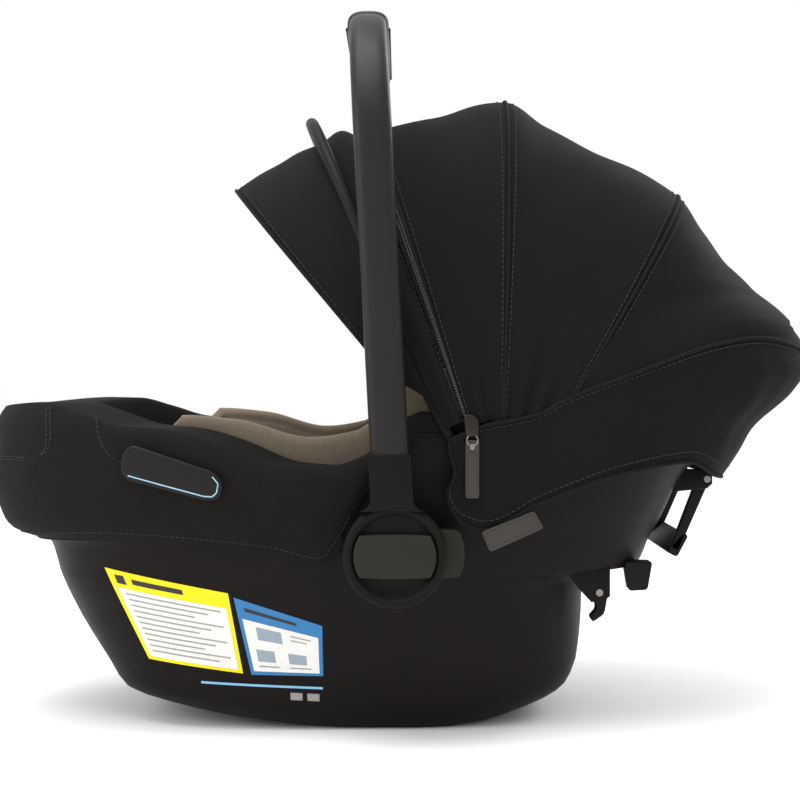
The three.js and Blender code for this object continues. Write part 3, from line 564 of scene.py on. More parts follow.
def round_toe(x, z, lift=0.0):
    """A level path round the toe end, from a place on the near side to the same place on the far side."""
    toe, head = along(SHELL_LEVELS, z, 1), along(SHELL_LEVELS, z, 2)
    share = abs((x - (toe + head) / 2) / ((head - toe) / 2))
    start = math.acos(min(1, share) ** (PLAN_POWER / 2))
    turn = np.interp(
        np.linspace(0, 1, 60), np.linspace(0, 1, 3), [math.pi + start, math.pi, math.pi - start]
    )
    height = np.full(60, float(z))
    return on_ring(SHELL_LEVELS, turn, height, cover_out(np.full(60, -300.0), height) + lift)


cover_rim = height_at(RIM, SHELL_LEVELS, AROUND)
cover_hem = height_at(COVER_HEM, SHELL_LEVELS, AROUND)
outer = []
for k in np.linspace(0, 1, 30):
    z = cover_hem + (cover_rim - cover_hem) * k
    x = on_ring(SHELL_LEVELS, AROUND, z)[..., 0]
    wrinkle = 0.5 * np.sin(x / 11 + 5 * k) * smooth((-8 - x) / 34) * np.sin(math.pi * k)
    wrinkle += 0.35 * np.sin(x / 5.3 - 9 * k) * np.sin(math.pi * k) ** 2
    outer.append(on_ring(SHELL_LEVELS, AROUND, z, cover_out(x, z) + wrinkle))
crest = [
    on_ring(SHELL_LEVELS, AROUND, cover_rim, out, lift)
    for out, lift in ((2.6, 3.4), (1.4, 5.3), (-0.6, COVER_CREST), (-3.0, 6.2))
]
crest += [
    seat_point(AROUND, cover_rim + up, depth) for up,
    depth in ((4, 2.5), (1, 5), (-4, 7), (-16, 8), (-30, 8.8), (-46, 8.8))
]
turned = [
    seat_point(AROUND, cover_rim + up, depth) for up,
    depth in ((-46, 7.6), (-30, 7.4), (-12, 1.5), (-1, 1.2))
]
turned.append(on_ring(SHELL_LEVELS, AROUND, cover_rim, -1.0, 1.6))
turned += [
    on_ring(SHELL_LEVELS, AROUND, cover_hem + (cover_rim - cover_hem) * k, 1.0) for k in (1, 0.66, 0.33, 0)
]
bm = bmesh.new()
section = outer + crest + turned
add_surface(bm, np.array(section + section[:1]))
# the flap inside the bowl laps over the seat pad's edge
seat_cover = piece(
    "seat_cover_padded", bm, cover_cloth, "shell", ["seat_cover"], closed=True
)

bm = bmesh.new()
hem_path = on_ring(SHELL_LEVELS, AROUND[:-1], cover_hem[:-1], 3.2)
add_tube(bm, hem_path, 1.7, 8, closed=True)
piece("cover_piping", bm, cover_cloth, "shell", closed=True)

bm = bmesh.new()
toe_down = np.array([(-289, 271), (-288, 258), (-287, 246), (-288, 238), (-292, 233), (-298, 230.5)])
for lift, shift in ((0.1, 0.0), (0.1, 3.6)):
    near = on_cover(toe_down[:, 0] + shift, toe_down[:, 1] + shift * 0.4, -1, lift)
    far = on_cover(toe_down[::-1, 0] + shift, toe_down[::-1, 1] + shift * 0.4, 1, lift)
    add_stitches(
        bm, np.concatenate([near, round_toe(-302, 229.5 - 0.6 * shift, lift), far]), 3.0, 1.2, 0.45
    )
for side in (-1, 1):
    lobe = np.array([(-245, 266), (-243, 252), (-239, 240), (-231, 231), (-219, 225)])
    add_stitches(bm, on_cover(lobe[:, 0], lobe[:, 1], side, 0.1), 3.0, 1.2, 0.4)
    lower = np.linspace(-322, -40, 90)
    add_stitches(bm, on_cover(lower, along(COVER_HEM, lower) + 6, side, 0.1), 3.2, 1.5, 0.4)
piece("cover_stitching", bm, thread, "shell", closed=True)

# ==== INSERT ====
# The tan newborn insert: brushed knit over thick wadding. Its bolster is a sewn roll that stands above
# the rim, and channels are quilted down its wall to the seat's floor.

INSERT_TOP = [
    (-365, 178), (-262, 200), (-212, 258), (-157, 254), (-90, 240), (-40, 246), (10, 286), (80, 300),
    (360, 302),
]
INSERT_TAN = "#6c6255"
ROLL = 26  # the bolster's height

insert_cloth = cloth(
    "brushed knit, tan insert", INSERT_TAN, 1.3, roughness=0.92, sheen=0.45, fleck=0.1, depth=0.3
)
tan_thread = cloth("sewing thread, tan", "#6b5d4f", 0.3, sheen=0.2)

BOWL = even_angles(200)
insert_top = height_at(INSERT_TOP, SHELL_LEVELS, BOWL)
inner_top = np.maximum(insert_top - 18, FLOOR + 30)
rows = []
for k in (0.0, 0.3, 0.6, 0.85):
    crown = 3.0 * math.sin(math.pi * k)
    rows.append(outline_point(-32 - 45 * k, -32 + 46 * k, 61 * k, BOWL, FLOOR + 18 + crown))
for k in np.linspace(0.02, 1, 44):
    z = FLOOR + (inner_top - FLOOR) * k
    to_top = inner_top - z
    roll = np.where(to_top < ROLL, np.sin(math.pi * np.clip(to_top / ROLL, 0, 1)) ** 0.6, 0) * 3.4
    below = np.where(to_top >= ROLL, np.abs(np.sin(math.pi * (to_top - ROLL) / 34)) ** 0.5, 0) * 2.6
    rows.append(seat_point(BOWL, z, 20.5 + roll + below))
for share, drop in ((22, 4), (19, 9), (15, 12.5), (11.5, 13), (9.6, 10), (9.4, 2)):
    rows.append(
        seat_point(
            BOWL, np.maximum(insert_top - 18 + drop * 0.7 - 0.75 * (share - 20.5), FLOOR + 20), share
        )
    )
for k in np.linspace(0.9, 0.02, 10):
    rows.append(seat_point(BOWL, FLOOR + (inner_top - FLOOR) * k, 9.4))
rows.append(outline_point(-32.0, -32.0, 0.0, BOWL, FLOOR + 7.0))
bm = bmesh.new()
add_surface(bm, np.array(rows))
insert = piece("insert_bolster", bm, insert_cloth, "shell", ["insert"], closed=True)
bm = bmesh.new()
roll_seam = seat_point(BOWL[:-1], inner_top[:-1] - ROLL, 20.6)
add_tube(bm, roll_seam, 0.9, 6, closed=True)
add_stitches(bm, seat_point(BOWL, insert_top - 9, 10.6), 3.2, 1.6, 0.45)
piece("insert_seams", bm, tan_thread, "shell", closed=True)

# ==== HEAD PILLOW AND HARNESS ====
# The head pillow is filled fibre under the insert's knit. The harness is 25 mm polyester webbing with
# padded sleeves on the shoulders, a two-part chest clip, and a buckle with a red release button.

BACK = {"x": 73.6, "z": 150.2, "slope": math.radians(36)}
WEBBING_GREY = "#2b2a29"


def on_back(s, y, rise):
    """A point on the reclined back: a distance up it, a place across it and a height off it."""
    s, y, rise = np.broadcast_arrays(s, y, rise)
    x = BACK["x"] + s * math.cos(BACK["slope"]) - rise * math.sin(BACK["slope"])
    z = BACK["z"] + s * math.sin(BACK["slope"]) + rise * math.cos(BACK["slope"])
    return np.stack([x, y, z], -1)


def add_cushion(bm, place, half_length, half_width, thickness, power=3.2, dents=()):
    """A filled cushion: two crowned faces meeting in a seam round a rounded outline."""
    rho = np.concatenate([np.linspace(0, 1, 18) ** 0.7, np.linspace(1, 0, 18)[1:] ** 0.7])
    turn = np.linspace(0, 2 * math.pi, 73)
    a = half_length * rho[:, None] * signed_power(np.cos(turn), 2 / power)[None]
    b = half_width * rho[:, None] * signed_power(np.sin(turn), 2 / power)[None]
    crown = thickness / 2 * (1 - rho**3.2) ** 0.55
    crown[18:] *= -1
    height = np.repeat(crown[:, None], len(turn), 1)
    for at, width, deep in dents:
        height = height - np.sign(height) * deep * np.exp(
            -(((b - at) / width) ** 2)
        ) * (1 - rho[:, None] ** 3)
    height += 0.5 * np.sin(a / 6 + 2) * np.sin(b / 7) * (1 - rho[:, None] ** 2)
    add_surface(bm, place(a, b, height))


webbing = cloth(
    "polyester webbing", WEBBING_GREY, 1.5, roughness=0.6, sheen=0.1, fleck=0.1, on_uv=False, specular=0.3
)
black_plastic = plastic("moulded nylon, black", "#0f0e0e", 0.5, specular=0.14)
red_plastic = plastic(
    "moulded acetal, red", "#a51712", 0.32, grain=0.5, depth=0.02, specular=0.45, coat=0.2
)
steel, steel_tree, steel_shader = new_material("nickel-plated steel")
brushed = put(
    steel_tree, "ShaderNodeTexNoise",
    {"Vector": put(steel_tree, "ShaderNodeTexCoord").outputs["Object"], "Scale": 700.0, "Detail": 4.0},
).outputs[0]
steel_tree.links.new(
    mixed(steel_tree, brushed, linear("#6b6865"), linear("#8f8c88")), steel_shader.inputs["Base Color"]
)
steel_tree.links.new(spread(steel_tree, brushed, 0.2, 0.36), steel_shader.inputs["Roughness"])
steel_shader.inputs["Metallic"].default_value = 1.0

bm = bmesh.new()
add_cushion(bm, lambda a, b, h: on_back(112 + a, b, 21 + h), 48, 60, 24, dents=((-22, 5, 4), (22, 5, 4)))
pillow = piece("head_pillow_soft", bm, insert_cloth, "shell", ["head_pillow"], closed=True)
bm = bmesh.new()
turn = np.linspace(0, 2 * math.pi, 97)[:-1]
edge = on_back(
    112 + 48.3 * signed_power(np.cos(turn), 2 / 3.2), 60.3 * signed_power(np.sin(turn), 2 / 3.2), 21.0
)
add_tube(bm, edge, 1.5, 8, closed=True)
piece("pillow_piping", bm, cover_cloth, "shell", closed=True)

for side, name in ((-1, "left"), (1, "right")):
    bm = bmesh.new()
    add_cushion(bm, lambda a, b, h: on_back(83 + a, side * 36.5 + b, 8.4 + h), 31, 16.5, 9.5, 4.5)
    pad = piece(
        "shoulder_sleeve_" + name, bm, cover_cloth, "shell", ["shoulder_pad_" + name],
        closed=True
    )
    bm = bmesh.new()
    for across in (-13, 13):
        s = np.linspace(56, 110, 30)
        add_stitches(bm, on_back(s, np.full(30, side * 36.5 + across), 12.2), 3, 1.4, 0.4)
    piece("shoulder_stitching_" + name, bm, thread, "shell", closed=True)
    bm = bmesh.new()
    s = np.linspace(-26, 111, 48)
    ribbon = [
        on_back(
            s, np.full(48, side * 36.5 + w), 2.4 + 0.5 * np.sin(s / 17)
        ) for w in np.linspace(-12.5, 12.5, 9)
    ]
    add_surface(bm, np.array(ribbon))
    strap = piece(
        "harness_strap_" + name, bm, webbing, "shell", ["shoulder_strap_" + name],
        centre=(0, 0, 0)
    )
    thicken(strap, 1.4)

for names, material in (
    (("lap_strap_left", "lap_strap_right", "crotch_strap", "adjuster_strap"), webbing),
    (("buckle_body", "chest_clip", "adjuster_housing", "adjuster_button"), black_plastic),
    (("buckle_button",), red_plastic),
    (("buckle_tongue_left", "buckle_tongue_right", "latch_axle", "lever_axle"), steel),
):
    for name in names:
        node = bpy.data.objects[name]
        node.data.materials.clear()
        node.data.materials.append(material)

# ==== PIVOTS, HANDLE AND RELEASE BUTTONS ====
# A blow-moulded carry handle with a soft satin grain, keyed into two round hubs that turn on bosses in
# the hull. Each hub has a dished face, with a finger scoop under its wide olive-grey release button.

HUB = {"x": -4, "z": 156, "radius": 41, "recess": 33.5, "inner": 200.8, "outer": 221, "floor": 215}
SOCKET_TOP = 236
HANDLE_TOP = 588.75  # the handle's centre line at its top
HANDLE_SIDE = 212
HANDLE_CORNER = 108
HANDLE_LEAN = math.tan(math.radians(3))
HANDLE_BLACK = "#1c1a19"
HUB_BLACK = "#110e0c"
OLIVE_GREY = "#24231d"

satin_plastic = plastic("moulded nylon, satin handle", HANDLE_BLACK, 0.42, specular=0.2)
hub_plastic = plastic("moulded nylon, hub", HUB_BLACK, 0.5, specular=0.1)
olive_plastic = plastic("moulded acetal, olive grey", OLIVE_GREY, 0.48, specular=0.12)


def resample(path, count):
    """The same path with its points evenly along it."""
    path = np.asarray(path, float)
    run = np.concatenate([[0], np.cumsum(np.linalg.norm(np.diff(path, axis=0), axis=1))])
    at = np.linspace(0, run[-1], count)
    return np.stack([np.interp(at, run, path[:, k]) for k in range(3)], -1)


def add_sweep(bm, path, wide, deep, power=0.7, sides=40):
    """A rounded bar carried along a path in the handle's plane: wide across it, deep through it."""
    path = np.asarray(path, float)
    step = np.gradient(path, axis=0)
    step /= np.linalg.norm(step, axis=1)[:, None]
    across = np.array([1.0, 0, 0]) - step * step[:, :1]
    across /= np.linalg.norm(across, axis=1)[:, None]
    normal = np.cross(step, across)
    turn = np.linspace(0, 2 * math.pi, sides + 1)
    u, v = signed_power(np.cos(turn), power) / 2, signed_power(np.sin(turn), power) / 2
    wide, deep = np.broadcast_to(wide, len(path)), np.broadcast_to(deep, len(path))
    rings = path[:, None] + (wide[:, None] * u)[..., None] * across[:, None] + (
        (deep[:, None] * v)[..., None] * normal[:, None]
    )
    ends = [np.repeat(path[k][None, None], sides + 1, 1) for k in (0, -1)]
    add_surface(bm, np.concatenate([ends[0], rings, ends[1]]))


corner = np.linspace(0, math.pi / 2, 30)
flat = HANDLE_SIDE - HANDLE_CORNER
low = HANDLE_TOP - HANDLE_CORNER
half_path = [(-HANDLE_SIDE, z) for z in np.linspace(SOCKET_TOP - 8, low, 24)]
half_path += [(-flat - HANDLE_CORNER * math.cos(a), low + HANDLE_CORNER * math.sin(a)) for a in corner[1:]]
whole = half_path + [(-y, z) for y, z in half_path[::-1]]
handle_path = resample([(HUB["x"] - (z - HUB["z"]) * HANDLE_LEAN, y, z) for y, z in whole], 180)
bm = bmesh.new()
add_sweep(bm, handle_path, 30.5, 21.0)
piece("handle_hoop", bm, satin_plastic, "handle", ["handle_bar"], closed=True)

grip_path = resample(handle_path[np.abs(handle_path[:, 1]) < 128], 90)
end = np.clip(np.minimum(np.linspace(0, 1, 90), np.linspace(1, 0, 90)) * 22, 0, 1) ** 0.5
palm = 1.2 * np.sin(np.linspace(0, math.pi, 90)) ** 2
bm = bmesh.new()
add_sweep(bm, grip_path, 31.5 + 3.4 * end + palm, 22 + 4.6 * end + palm)
piece("handle_grip_sleeve", bm, satin_plastic, "handle", ["handle_grip"], closed=True)
bm = bmesh.new()
for shift in (-17.4, 17.4):
    strip = grip_path[4:-4] + np.array([shift, 0, -2.0])
    add_tube(bm, strip, 1.5, 8)
rubber = plastic("moulded rubber, grip edges", "#161514", 0.7, grain=0.5, depth=0.08, specular=0.2)
piece("handle_grip_edges", bm, rubber, "handle", closed=True)

hub_turn = np.linspace(0, 2 * math.pi, 97)
for side, name in ((-1, "left"), (1, "right")):
    rows = []
    face = [
        (0, 215.2), (10, 215.1), (20, 215.3), (28, 216.0), (32, 217.6), (33.6, 219.6), (34.8, 220.7),
        (36.5, 221)
    ]
    edge = [
        (38.6, 220.7), (40.2, 219.6), (41, 217.6), (41, 209), (41, 203), (40, 201.2), (38, 200.8),
        (0, 200.8)
    ]
    fine = np.concatenate([np.linspace(0, 28, 18)[:-1], np.array([p[0] for p in face[3:]])])
    radial = [(r, np.interp(r, [p[0] for p in face], [p[1] for p in face])) for r in fine] + edge
    for k, (r, y) in enumerate(radial):
        x, z = r * np.cos(hub_turn), r * np.sin(hub_turn)
        scoop = 2.4 * np.exp(-((x / 13) ** 2) - ((z + 24) / 6.5) ** 2) if k < len(fine) else 0 * x
        rows.append(np.stack([HUB["x"] + x, side * (y - scoop), HUB["z"] + z], -1))
    bm = bmesh.new()
    add_surface(bm, np.array(rows))
    flare = [
        (
            z, 16.7 + 10 * (1 - math.sqrt(max(0, 1 - ((201 - z) / 10) ** 2)))
        ) for z in np.linspace(191.1, 201, 12)
    ]
    flare += [(222, 16.7), (SOCKET_TOP, 16.6)]
    outline = [(HUB["x"] - (z - HUB["z"]) * HANDLE_LEAN + w, z) for z, w in flare]
    outline += [(HUB["x"] - (z - HUB["z"]) * HANDLE_LEAN - w, z) for z, w in flare[::-1]]
    add_plate(bm, outline, side * HUB["inner"], side * 223.6, 1.4)
    hub = piece(
        "hub_" + name, bm, hub_plastic, "handle", ["handle_hub_" + name], closed=True
    )
    sharpen(hub, 40)

    outline = []
    for (x0, z0), (cx, cz), (x1, z1) in (
        ((-27.6, -16.5), (0, -18.4), (27.6, -16.5)), ((27.6, -16.5), (37.2, 0), (27.6, 16.5)),
        ((27.6, 16.5), (0, 18.4), (-27.6, 16.5)), ((-27.6, 16.5), (-37.2, 0), (-27.6, -16.5)),
    ):
        for t in np.linspace(0, 1, 10)[:-1]:
            x = (1 - t) ** 2 * x0 + 2 * t * (1 - t) * cx + t * t * x1
            z = (1 - t) ** 2 * z0 + 2 * t * (1 - t) * cz + t * t * z1
            outline.append((HUB["x"] + x, HUB["z"] + z))
    bm = bmesh.new()
    add_plate(bm, outline, side * 214.2, side * 222.5, 1.8, 5)
    sharpen(piece("release_button_" + name, bm, olive_plastic, "button_" + name,
                  ["handle_button_" + name], closed=True), 40)

    bm = bmesh.new()
    boss = [(r, y) for r, y in ((0, 200.3), (33, 200.3), (34, 199.4), (38.5, 152), (0, 152))]
    add_surface(bm, np.array([
        np.stack(
            [HUB["x"] + r * np.cos(hub_turn), np.full(97, side * y), HUB["z"] + r * np.sin(hub_turn)], -1
        )
        for r, y in boss
    ]))
    tab = [
        (0, 137), (44, 137), (47.5, 139), (50.2, 146), (51.2, 156), (50.2, 166), (47.5, 173), (44, 175),
        (0, 175)
    ]
    add_plate(bm, tab, side * 178, side * 200.3, 1.4, 4)
    sharpen(piece("pivot_boss_solid_" + name, bm, olive_plastic, "shell",
                  ["pivot_boss_" + name], closed=True), 40)
    bm = bmesh.new()
    pin = [(79 + 6.5 * math.cos(t), 182 + 6.5 * math.sin(t)) for t in hub_turn[:-1:4]]
    add_plate(bm, pin, side * 150, side * 190.5, 1.0)
    sharpen(
        piece(
            "canopy_pin_" + name, bm, black_plastic, "shell", ["canopy_mount_" + name],
            closed=True
        )
    )

# ==== BADGE PLATES ====
# A rounded plate on each side of the cover that keeps the vehicle's belt in place, in satin black, with
# a light-blue guide line moulded along its lower edge and round its rear end.

badge_outline = [
    (-213, 242), (-147, 220), (-140, 211), (-143, 199), (-153, 197), (-217, 214), (-222, 221), (-220, 236)
]
badge_satin = plastic("moulded polypropylene, badge plate", "#1c1919", 0.4, specular=0.14)
blue_line = plastic("printed line, light blue", "#93b9cf", 0.5, grain=0.5, depth=0.01, specular=0.2)


def rounded_outline(points, r=9, steps=6):
    """Rounds an outline's corners with short curves."""
    made = []
    for k, point in enumerate(points):
        here = np.array(point, float)
        for t in np.linspace(0, 1, steps):
            before, after = np.array(points[k - 1], float), np.array(points[(k + 1) % len(points)], float)
            reach = min(r, 0.45 * np.linalg.norm(before - here), 0.45 * np.linalg.norm(after - here))
            a = here + (before - here) / np.linalg.norm(before - here) * reach
            b = here + (after - here) / np.linalg.norm(after - here) * reach
            made.append(tuple((1 - t) ** 2 * a + 2 * t * (1 - t) * here + t * t * b))
    return made


for side, name in ((-1, "left"), (1, "right")):
    bm = bmesh.new()
    add_plate(bm, rounded_outline(badge_outline, 8), side * 186.0, side * 192.0, 1.6, 4)
    sharpen(
        piece(
            "badge_" + name, bm, badge_satin, "shell", ["belt_guide_" + name], closed=True
        ),
        40
    )
    bm = bmesh.new()
    line = [
        (-216, 217.4, 0), (-190, 210.2, 0), (-156, 201.0, 0), (-149, 200.6, 0), (-145.5, 204, 0),
        (-144.4, 211, 0), (-149, 216.5, 0)
    ]
    path = resample([(x, side * 192.0, z) for x, z, _ in line], 60)
    add_tube(bm, path, 0.55, 6)
    piece("badge_line_" + name, bm, blue_line, "shell", closed=True)

# ==== CANOPY ====
# Woven polyester over three sprung bows that turn on one pivot at each side: a rear, a middle and a
# front panel joined by piped seams, then a zipped extension folded behind the front bow, and the visor.

PIVOT = {"x": 79, "z": 182}
CROWN = [  # angle round the pivot, distance to the cloth over the middle
    (23, 306), (28, 310), (32.6, 306), (40, 299), (45.3, 298), (52.7, 306), (59, 319), (73, 325), (82, 338),
    (88, 356), (98.5, 346), (107, 345), (112, 350), (116, 353), (129, 357),
]
BOWS = {"canopy_rear": (59, 178), "canopy_mid": (88, 182.5), "canopy_front": (115, 187)}
HALF_WIDTH = 198
ARCH_POWER = 2 / 3
APRON_LEVELS = [  # height, toe end, head end, half width
    (170, -245, 245, 196.5), (204, -276, 276, 197), (234, -297, 297, 197.5), (250, -306, 306, 198),
    (285, -343, 343, 198), (303, -353, 353, 198), (330, -346, 346, 198),
]
APRON_SEAM = [
    (36, 244), (65, 256), (110, 266), (133, 278), (194, 301), (257, 322), (294, 327), (338, 319), (363, 303)
]
CANOPY_BLACK = "#121010"

canopy_cloth = cloth("woven polyester, canopy", CANOPY_BLACK, 0.8, roughness=0.85, sheen=0.1, fleck=0.12)
piping = cloth("bias binding, canopy piping", "#161414", 0.6, roughness=0.85, sheen=0.15)


def arch(angle, t, inset=0.0, reach=None, half=HALF_WIDTH, lean=0.0):
    """A point of the arch that stands at an angle round the pivot."""
    reach = (along(CROWN, angle) if reach is None else reach) - inset
    r = reach * np.sin(t) ** ARCH_POWER
    turn = np.radians(angle + lean * (1 - r / reach) ** 2)
    y = -(half - inset) * signed_power(np.cos(t), ARCH_POWER)
    return np.stack([PIVOT["x"] + r * np.cos(turn), y, PIVOT["z"] + r * np.sin(turn)], -1)


def arch_line(angle, low, count=121, inset=0.0, reach=None, half=HALF_WIDTH, lean=0.0):
    """An arch from a distance off the pivot on one side to the same on the other."""
    whole_reach = float(along(CROWN, angle) if reach is None else reach) - inset
    start = math.asin(min(0.999, low / whole_reach) ** 1.5)
    return resample(arch(angle, np.linspace(start, math.pi - start, 1500), inset, reach, half, lean), count)


def seam_reach(angle):
    """How far from the pivot the apron's upper seam lies, in the direction of an angle."""
    r = np.arange(40.0, 330.0)
    x = PIVOT["x"] + r * math.cos(math.radians(angle))
    z = PIVOT["z"] + r * math.sin(math.radians(angle))
    under = (z < along(APRON_SEAM, x)) & (x >= 36)
    return max(75.0, r[under].max() if under.any() else 75.0)


def panel_points(start, stop, rows, low_at, lean=(0, 0), inset=0.0):
    made = []
    for k in np.linspace(0, 1, rows):
        angle = start + (stop - start) * k
        made.append(arch_line(angle, low_at(k, angle), inset=inset, lean=lean[0] + (lean[1] - lean[0]) * k))
    return np.array(made)


def folds(points, pleats, depth, ripple):
    """Pleats that gather towards the pivot, and shallow ripples over the crown."""
    v, u = np.meshgrid(
        np.linspace(0, 1, points.shape[0]), np.linspace(0, 1, points.shape[1]), indexing="ij"
    )
    r = np.hypot(points[..., 0] - PIVOT["x"], points[..., 2] - PIVOT["z"])
    edge = np.sin(math.pi * v) ** 0.7
    gathered = depth * np.exp(-(((r - 80) / 95) ** 2)) * np.sin(
        2 * math.pi * (pleats * v + 0.12 * np.sin(9 * u))
    )
    drawn = ripple * (
        np.sin(
            2 * math.pi * (2.1 * u + 1.3 * v) + 0.7
        ) + 0.7 * np.sin(2 * math.pi * (5.3 * u - 1.7 * v) + 2.1)
        + 0.5 * np.sin(2 * math.pi * (11 * u + 2.6 * v))
    )
    return push(points, (gathered + drawn) * edge, (PIVOT["x"], 0, PIVOT["z"]))


def laid_on_apron(points):
    """The rear panel's foot closes in on the apron, to which it is sewn."""
    x, y, z = points[..., 0], points[..., 1], points[..., 2]
    near = smooth(1 - (z - along(APRON_SEAM, x)) / 45)
    foot = np.sign(y) * np.minimum(side_y(APRON_LEVELS, x, z), HALF_WIDTH)
    inside = x < along(APRON_LEVELS, z, 2) - 12
    made = points.copy()
    made[..., 1] = np.where(inside & (np.abs(y) > 40), y + (foot - y) * near, y)
    return made


def turning(obj, start, stop, hold=None):
    """Bakes the piece's placement into its mesh and works out each point's share of the turn between two
    angles round the pivot, less near the foot when hold is given; the shares are not kept or used, so the
    piece does not bend.
    """
    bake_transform(obj)
    place = np.array([v.co for v in obj.data.vertices], float) / MM
    angle = np.degrees(np.arctan2(place[:, 2] - PIVOT["z"], place[:, 0] - PIVOT["x"]))
    share = np.clip((angle - start) / (stop - start), 0, 1)
    if hold:
        share *= smooth((place[:, 2] - along(APRON_SEAM, place[:, 0])) / hold)
    return obj


canopy_panels = (
    (
        "canopy_panel_rear", "shell", "canopy_rear", 23.6, 58.9, lambda k,
        a: min(305.5, seam_reach(a) - 2.0), (0, 0), 3, 1.6, 60
    ),
    (
        "canopy_panel_mid", "canopy_rear", "canopy_mid", 59.1, 87.9, lambda k, a: seam_reach(a) - 1.0,
        (0, 0), 3, 1.3, None
    ),
    (
        "canopy_panel_front", "canopy_mid", "canopy_front", 88.1, 107.2, lambda k, a: 79, (0, 0), 2, 1.0,
        None
    ),
)
for node, a, b, start, stop, low_at, lean, pleats, ripple, hold in canopy_panels:
    points = folds(panel_points(start, stop, 33, low_at, lean), pleats, 1.5, 0.35 * ripple)
    if node == "canopy_panel_rear":
        points = laid_on_apron(points)
    bm = bmesh.new()
    add_surface(bm, points)
    sheet = piece(node + "_cloth", bm, canopy_cloth, None, [node], centre=(79, 0, 182))
    turning(sheet, start, stop, hold)
    thicken(sheet, 1.6)

for body, (angle, eye) in BOWS.items():
    front = body == "canopy_front"
    reach = 372.0 if front else float(along(CROWN, angle)) - 9
    line = arch_line(angle, 8, 141, reach=reach, half=191 if not front else 190, lean=9 if front else 0)
    r = np.hypot(line[:, 0] - PIVOT["x"], line[:, 2] - PIVOT["z"])
    line[:, 1] -= np.sign(line[:, 1]) * np.clip((75 - r) / 60, 0, 1) * (190 - eye)
    bm = bmesh.new()
    add_tube(bm, line, 5.3 if front else 4.2, 12)
    for side in (-1, 1):
        eyelet = [
            (
                PIVOT["x"] + 7 * math.cos(a), PIVOT["z"] + 7 * math.sin(a)
            ) for a in np.linspace(0, 6.283, 25)[:-1]
        ]
        add_plate(bm, eyelet, side * (eye - 2), side * (eye + 2), 0.6)
    node = "canopy_bow_" + body.split("_")[1]
    sharpen(piece(node + "_rod", bm, black_plastic, body, [node], closed=True), 50)
    if front:
        continue
    bm = bmesh.new()
    add_tube(bm, arch_line(angle, seam_reach(angle) + 2, 121, inset=-0.4), 1.5, 8)
    piece("canopy_seam_" + body, bm, piping, body, closed=True)
    bm = bmesh.new()
    for offset in (-1.1, 1.1):
        add_stitches(
            bm, arch_line(angle + offset, seam_reach(angle + offset) + 4, 240, inset=-0.25), 3.2, 1.5, 0.4
        )
    piece("canopy_stitching_" + body, bm, thread, body, closed=True)

# The zip runs over the canopy from side to side: tape, and two rows of moulded coil.
zip_tape = cloth("woven polyester, zip tape", "#191817", 0.7, roughness=0.7, sheen=0.1)
zip_coil = plastic("moulded nylon coil", "#262423", 0.35, grain=0.5, depth=0.02, specular=0.5)
points = panel_points(107.2, 109.8, 7, lambda k, a: 79, inset=0.6)
bm = bmesh.new()
add_surface(bm, points)
tape = piece(
    "zipper_tape", bm, zip_tape, "canopy_front", ["zipper_band"], centre=(79, 0, 182)
)
thicken(tape, 1.4)
bm = bmesh.new()
for offset in (108.25, 108.75):
    line = arch_line(offset, 80, 620, inset=-0.5)
    coil = push(np.array([line, line + 0.001]), 0 * line[:, 0] + 0, (79, 0, 182))[0]
    add_stitches(bm, coil, 1.5, 0.7, 1.0)
piece("zipper_coil", bm, zip_coil, "canopy_front", closed=True)
bm = bmesh.new()
for offset in (106.6, 110.3):
    add_stitches(bm, arch_line(offset, 82, 240, inset=-0.3), 3.2, 1.5, 0.4)
piece("zipper_stitching", bm, thread, "canopy_front", closed=True)

# The extension's cloth lies folded behind the front bow.
rows = []
for k in np.linspace(0, 1, 13):
    angle, puff = 109.9 + 5.3 * k, -4.5 * math.sin(math.pi * k) ** 0.6 - 1.5 * math.sin(2 * math.pi * k)
    rows.append(arch_line(angle, 84, inset=puff, lean=2 + 7 * k))
points = push(
    np.array(rows), bulges((13, 121), (0.7, 4, 1, 0.3), (0.5, 9, 0, 1.1), (0.3, 17, 1, 2)), (79, 0, 182)
)
bm = bmesh.new()
add_surface(bm, points)
fold = piece(
    "extension_cloth", bm, canopy_cloth, "canopy_front", ["extension_fold"],
    centre=(79, 0, 182)
)
thicken(fold, 1.4)

points = panel_points(115.1, 128.8, 17, lambda k, a: 104 + 36 * k, (9, -4))
bm = bmesh.new()
add_surface(bm, folds(points, 1, 0.8, 0.4))
visor = piece("visor_cloth", bm, canopy_cloth, None, ["visor"], centre=(79, 0, 182))
turning(visor, 115.1, 122)
thicken(visor, 2.2)
bm = bmesh.new()
add_tube(bm, points[-1], 1.6, 8)
piece("visor_piping", bm, piping, "visor", closed=True)
bm = bmesh.new()
add_stitches(bm, push(points, 0.3 + 0 * points[..., 0], (79, 0, 182))[-2], 3.2, 1.5, 0.4)
piece("visor_stitching", bm, thread, "visor", closed=True)

# ==== APRON ====
# The skirt of canopy cloth that wraps the head end below the rear panel, piped along its upper seam and
# its lower hem, elasticated and hooked to the hull, so it lies in shallow folds.

APRON_HEM = [
    (36, 206), (40, 192), (48, 181), (66, 174.5), (110, 195), (179, 219), (234, 227), (262, 214), (300, 205)
]
WRAP = 1.5397  # the angle to which the apron comes forward on each side

